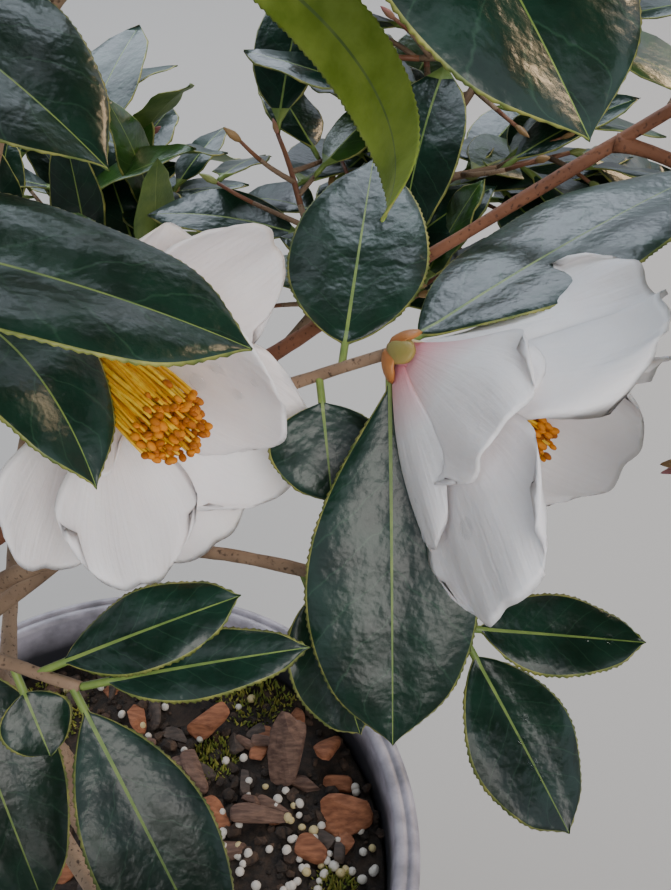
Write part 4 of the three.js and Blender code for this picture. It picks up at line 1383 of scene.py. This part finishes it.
def petal_grid(base, axis, petal, rows, across):
    """A petal's surface. Its edges turn in along an arc, and its tip is rounded and may be notched."""
    around, open_root, open_tip = petal["around"], petal["open"][0], petal["open"][1]
    length, width = petal["size"]
    outward, side = petal_axes(axis, around)
    ts = np.linspace(0, 1, rows + 1)
    middles = (ts[1:] + ts[:-1]) / 2

    def slopes_at(t):
        opened = mix(open_root, open_tip, t) + petal.get("hook", 0) * np.clip((t - 0.7) / 0.3, 0, 1) ** 1.5
        opened = np.radians(opened)
        return np.outer(np.cos(opened), axis) + np.outer(np.sin(opened), outward)

    spine = base + outward + np.vstack([np.zeros(3), np.cumsum(slopes_at(middles) * length / rows, axis=0)])
    slopes = slopes_at(ts)
    sides = side - slopes * (slopes @ side)[:, None]
    sides /= np.linalg.norm(sides, axis=1)[:, None]
    twist = np.radians(petal.get("twist", 0) * ts)[:, None]
    sides = sides * np.cos(twist) + np.cross(slopes, sides) * np.sin(twist)
    normals = np.cross(sides, slopes)

    s = np.linspace(-1, 1, across + 1)
    broad = petal.get("broad", 0.72)
    rising = 0.2 + 0.8 * np.sin(np.clip(ts / broad, 0, 1) * math.pi / 2) ** petal.get("claw", 1.3)
    falling = np.where(ts > broad, 1 - 0.22 * ((ts - broad) / (1 - broad)) ** 2, 1)
    half = width / 2 * rising * falling
    cup_root, cup_tip = petal.get("cup", (38, 22))
    turn_in = np.radians(mix(cup_root, cup_tip, 1 - (1 - ts) ** petal.get("furl", 1)))[:, None]
    flat, deep = np.sin(turn_in * s) / turn_in, (1 - np.cos(turn_in * s)) / turn_in
    rounded = petal.get("round", 0.9) * width / 2 * (1 - np.sqrt(1 - 0.98 * s ** 2))
    dented = petal.get("notch", 0.03) * length * np.exp(-(s / 0.2) ** 2)
    back = (rounded + dented) * np.clip((ts - 0.2) / 0.8, 0, 1)[:, None] ** 1.4
    ruffle = petal.get("ruffle", 1.2) * (0.25 + 0.75 * np.abs(s)) * ts[:, None] ** 2
    phase = petal.get("phase", 0)
    ripples = np.sin(5.3 * s + phase + 3 * ts[:, None]) + 0.6 * np.sin(9.7 * s - 2 * phase)
    crinkles = np.array([[crinkle(across_mm, t * length, phase) for across_mm in s * width / 2] for t in ts])
    lift = half[:, None] * deep + ruffle * ripples * 0.5 + 0.45 * ruffle * crinkles * ts[:, None]
    points = (spine[:, None] + (half[:, None] * flat)[..., None] * sides[:, None]
              + lift[..., None] * normals[:, None] - back[..., None] * slopes[:, None])
    return points, ts, s


def surface_normals(points):
    """Facing of a grid at each point, towards the bloom's middle."""
    along, over = np.gradient(points, axis=0), np.gradient(points, axis=1)
    facing_in = np.cross(over, along)
    return facing_in / (np.linalg.norm(facing_in, axis=-1)[..., None] + 1e-12)


def petal_part(base, axis, petal, rows, across):
    points, ts, s = petal_grid(base, axis, petal, rows, across)
    normals = surface_normals(points)
    thickness = np.full(points.shape[:2], PETAL_SKIN)
    vertices, faces, inner = sheet(points, normals, thickness)
    row_share = np.broadcast_to(ts[:-1, None], (rows, across)).ravel()
    pick_top = np.where(row_share < 0.4, CREAM, WHITE)
    pick_under = np.full(rows * across, BLUSH if petal.get("blush") else WHITE)
    place = np.stack(np.broadcast_arrays(0.5 + 0.5 * s[None], ts[:, None]), axis=-1)
    place = np.vstack([place.reshape(-1, 2), place[inner]])
    return (vertices, faces, np.concatenate([pick_top, pick_under]), place), points, normals


def stamen_parts(base, axis, length, count, number):
    """A column of golden filaments, grown together at the foot, each with its anther at the end."""
    draw = random_from(3000 + number)
    outward, side = petal_axes(axis, 0)
    ts = np.linspace(0, 1, 9)
    foot = base + COLUMN_FOOT * axis
    filling = 1 - (1 - ts) ** 3
    core = foot + np.outer(ts, axis) * length * 0.68
    filaments, anthers = [tube(core, mix(2, 5.4, filling), 12, 1)], []
    for i in range(count):
        turn = math.radians(i * GOLDEN_ANGLE)
        ring = ((i + 0.5) / count) ** 0.4
        radial = outward * math.cos(turn) + side * math.sin(turn)
        across = outward * -math.sin(turn) + side * math.cos(turn)
        reach = length * mix(0.84, 1.04, draw()) * (1.06 - 0.16 * ring ** 2)
        lean, wave, wavelength = mix(0.85, 1.1, draw()), mix(-0.9, 0.9, draw()), mix(3, 6, draw())
        away = ring * mix(2.4, 7.2 * lean, filling)
        line = foot + np.outer(ts * (reach - COLUMN_FOOT), axis) + np.outer(away, radial)
        line = line + np.outer(wave * ts * np.sin(wavelength * ts), across) - np.outer(0.8 * ts ** 2, UP)
        filaments.append(tube(line, np.linspace(0.55, 0.3, len(ts)), 5, int(2 * draw())))
        grain_form = BALL_80 * np.array([1.7, 1.3, 2.5]) / 2 * mix(0.7, 1.05, draw())
        direction = unit(axis + 0.9 * np.array([draw() - 0.5, draw() - 0.5, draw() - 0.5]))
        anthers.append((facing(grain_form, line[-1], direction), [FACES_80], int(2 * draw()), None))
    return filaments, anthers


def cup_scales(base, axis, number):
    """Six overlapping bud scales that hold the bloom's foot."""
    draw = random_from(3500 + number)
    parts = []
    for i in range(CUP_SCALES):
        around, length = i * 360 / CUP_SCALES + 20 * draw(), mix(6.5, 8.5, draw())
        petal = dict(around=around, open=(78 - 9 * (i % 2), 18), size=(length, 7.5), cup=(70, 55),
                     notch=0, ruffle=0.2, broad=0.55)
        points, _, _ = petal_grid(base - axis * 2.2, axis, petal, 8, 8)
        vertices, faces, _ = sheet(points, surface_normals(points), np.full(points.shape[:2], SCALE_SKIN))
        parts.append((vertices, faces, i % 2, None))
    return parts


def open_bloom_petals(bloom, number):
    """The four broad petals of the solid, one more in each gap, and an inner ring that stands up."""
    draw = random_from(4000 + number)
    petals = []
    for petal in bloom["petals"]:
        (opened, opened_tip), (length, width) = petal["open"], petal["size"]
        between = dict(around=petal["around"] + 45, open=(opened - 6, opened_tip - 12),
                       size=(length * 0.94, width * 0.92))
        petals += [dict(petal), between]
    for i in range(INNER_RING):
        petals.append(dict(around=i * 72 + 30 * draw(), open=(mix(18, 30, draw()), mix(34, 58, draw())),
                           size=(mix(26, 32, draw()), mix(22, 27, draw()))))
    for petal in petals:
        petal.update(cup=(44, mix(14, 30, draw())), ruffle=mix(1.2, 2.4, draw()), phase=CYCLE * draw(),
                     notch=mix(0, 0.12, draw()), twist=mix(-14, 14, draw()))
    return petals


petal_parts, filament_parts, anther_parts, scale_parts = [], [], [], []
known_petals = {}
for number, grown in enumerate(grown_blooms):
    axis = aim(grown["bloom"]["heading"], grown["bloom"]["rise"])
    base, known = grown["base"], grown["known"]
    if known:
        shapes = grown["bloom"]["petals"] + INNER_PETALS[known]
        cells, stamens = KNOWN_BLOOM_CELLS, KNOWN_BLOOM_STAMENS
    else:
        shapes = open_bloom_petals(grown["bloom"], number)
        cells, stamens = OPEN_BLOOM_CELLS, OPEN_BLOOM_STAMENS
    for order, petal in enumerate(shapes):
        part, surface, facings = petal_part(base, axis, petal, cells, cells)
        petal_parts.append(part)
        if known:
            known_petals[(known, order)] = (surface, facings)
    filaments, anthers = stamen_parts(base, axis, grown["bloom"]["stamens"], stamens, number)
    filament_parts += filaments
    anther_parts += anthers
    scale_parts += cup_scales(base, axis, number)


def thin_petal(name, colour, second, fades_at=None):
    """A camellia petal: thin, moist and slightly see-through, so light glows softly in it, with fine
    veins that run out from the foot."""
    made, tree, shader = material(name, colour, Roughness=0.5, IOR=1.38)
    shader.inputs["Subsurface Weight"].default_value = 0.35
    shader.inputs["Subsurface Radius"].default_value = (0.004, 0.003, 0.0025)
    shader.inputs["Subsurface Scale"].default_value = 0.5
    spot = add(tree, "ShaderNodeTexCoord").outputs["UV"]
    share = ranged(tree, grain(tree, 12, 4), 0.3, 0.7)
    if fades_at:
        share = ranged(tree, add(tree, "ShaderNodeSeparateXYZ", {0: spot}).outputs["Y"], 0.08, fades_at)
    two_tone(tree, shader, colour, second, share)
    drawn = add(tree, "ShaderNodeMapping", {0: spot})
    drawn.inputs["Scale"].default_value = (34, 3.2, 1)
    veins = add(tree, "ShaderNodeTexNoise", {0: drawn.outputs[0]}, Scale=1.0, Detail=4.0).outputs[0]
    both = add(tree, "ShaderNodeMath", {0: veins, 1: grain(tree, 2.6, 4)}, operation="ADD").outputs[0]
    bumped(tree, shader, both, 0.2)
    return made


def stamen_skin(name, colour, second, rough):
    """Filaments are moist and smooth, anthers dusty with pollen."""
    made, tree, shader = material(name, colour, Roughness=rough, IOR=1.4)
    two_tone(tree, shader, colour, second, ranged(tree, grain(tree, 1.5, 3), 0.35, 0.65))
    return made


petal_skins = [
    thin_petal("white_petal", "f8f1ef", "f1e8e8"),
    thin_petal("cream_footed_petal", "e6dfb0", "f5f0ee", fades_at=0.38),
    thin_petal("blush_footed_petal", "de8790", "f4eeed", fades_at=0.46),
]
blossom_masses = sorted({LIMBS[grown["mass"]]["name"] for grown in grown_blooms})
petals = joined_mesh("white_petals", petal_parts, petal_skins)
on_plant(petals, "foliage", *["foliage_" + name for name in blossom_masses])
filament_skins = [
    stamen_skin("golden_filament", "e8b016", "f2c93a", 0.4),
    stamen_skin("amber_filament", "d8980f", "e6ad20", 0.4),
]
on_plant(joined_mesh("stamen_filaments", filament_parts, filament_skins), "foliage")
anther_skins = [
    stamen_skin("orange_anther", "c9760c", "d98a18", 0.7),
    stamen_skin("brown_anther", "9c540a", "b96c10", 0.7),
]
on_plant(joined_mesh("stamen_anthers", anther_parts, anther_skins), "foliage")
scale_skins = [
    young_shoot("brown_bud_scale", "a5662f", "bd8048"),
    young_shoot("green_bud_scale", "8f8445", "a98a4e"),
]
on_plant(joined_mesh("bud_scales", scale_parts, scale_skins), "foliage")


# The raindrops
# A shower has left clear drops standing on the two blooms and on the lowest leaves at the right. Each
# is a low dome of water that clings to the surface.

# Which petal or leaf, how far along and across it, and the drop's width in mm
DROPS_ON_PETALS = [
    ("front_middle", 0, 0.62, 0.44, 3.2), ("front_middle", 0, 0.74, 0.56, 2.8),
    ("front_middle", 0, 0.5, 0.6, 4.2), ("front_middle", 0, 0.84, 0.4, 2.2),
    ("front_middle", 1, 0.6, 0.5, 2.8), ("right_middle", 3, 0.68, 0.45, 4.8),
    ("right_middle", 2, 0.75, 0.6, 2.0), ("right_middle", 4, 0.6, 0.4, 1.8),
]
DROPS_ON_LEAVES = [
    ("right_low", 2, 0.55, 0.55, 2.4), ("right_low", 2, 0.66, 0.66, 3.0), ("right_low", 2, 0.48, 0.4, 2.0),
    ("right_low", 2, 0.74, 0.42, 1.6), ("right_low", 1, 0.8, 0.5, 2.6), ("right_low", 1, 0.7, 0.62, 1.8),
]


def drop_parts(rows, surfaces):
    parts = []
    for name, order, along, over, size in rows:
        points, normals = surfaces[(name, order)]
        i, j = int(along * (points.shape[0] - 1)), int(over * (points.shape[1] - 1))
        dome = BALL_320 * np.array([size, size, size * 0.45]) / 2
        middle = points[i, j] + normals[i, j] * 0.04 * size
        parts.append((facing(dome, middle, normals[i, j]), [FACES_320], 0, None))
    return parts


def rain_water():
    """Clean water: colourless, wet-smooth, and so clear that only its edge and gloss show."""
    made, tree, shader = material("rain_water", "f4f8fa", Roughness=0.02, IOR=1.333)
    shader.inputs["Transmission Weight"].default_value = 1.0
    shader.inputs["Alpha"].default_value = 0.4
    return made


drops = drop_parts(DROPS_ON_PETALS, known_petals) + drop_parts(DROPS_ON_LEAVES, known_surfaces)
on_plant(joined_mesh("raindrops", drops, [rain_water()]), "foliage")


# The studio
# A grey matt floor, a broad cool light from overhead and behind, a soft one from the front and a
# small warm one from behind at the right.

FLOOR_HALF = 40000
floor_corners = np.array([(x, y, 0) for x, y in ((-1, -1), (1, -1), (1, 1), (-1, 1))], float) * FLOOR_HALF
floor = joined_mesh("studio_floor", [(floor_corners, [np.array([(0, 1, 2, 3)])], 0, None)],
                    [material("grey_floor_paint", "918d87", Roughness=0.8)[0]])


def soft_light(name, place, target, size, watts, colour):
    light = bpy.data.lights.new(name, "AREA")
    light.size, light.energy = size, watts
    light.color = linear(colour)[:3]
    made = bpy.data.objects.new(name, light)
    made.location = place
    made.rotation_euler = (Vector(target) - Vector(place)).to_track_quat("-Z", "Y").to_euler()
    bpy.context.scene.collection.objects.link(made)


middle = (0, 0, 0.4)
soft_light("sky_light", (-0.3, 1.3, 2.1), middle, 2.2, 80, "dfe9f7")
soft_light("front_light", (0.9, -1.8, 1.6), middle, 1.6, 46, "f6efe8")
soft_light("warm_light", (1.5, 1.2, 1.3), middle, 0.5, 15, "ffd9a8")

sky = bpy.data.worlds.new("sky")
sky.use_nodes = True
sky.node_tree.nodes["Background"].inputs["Color"].default_value = linear("cfd8e6")
sky.node_tree.nodes["Background"].inputs["Strength"].default_value = 1.3
bpy.context.scene.world = sky

# The camera looks down into the open side of the crown. A 38.6 mm lens on a 36 mm frame, the long side
# upright, sees 50 degrees from top to bottom.
lens = bpy.data.cameras.new("close_view")
lens.lens = 38.6
lens.clip_start = 0.01
camera = bpy.data.objects.new("close_view", lens)
camera.location = OPENING_POINT * MM
camera.rotation_euler = (math.radians(90 - OPENING_PITCH), 0, 0)
bpy.context.scene.collection.objects.link(camera)
bpy.context.scene.camera = camera
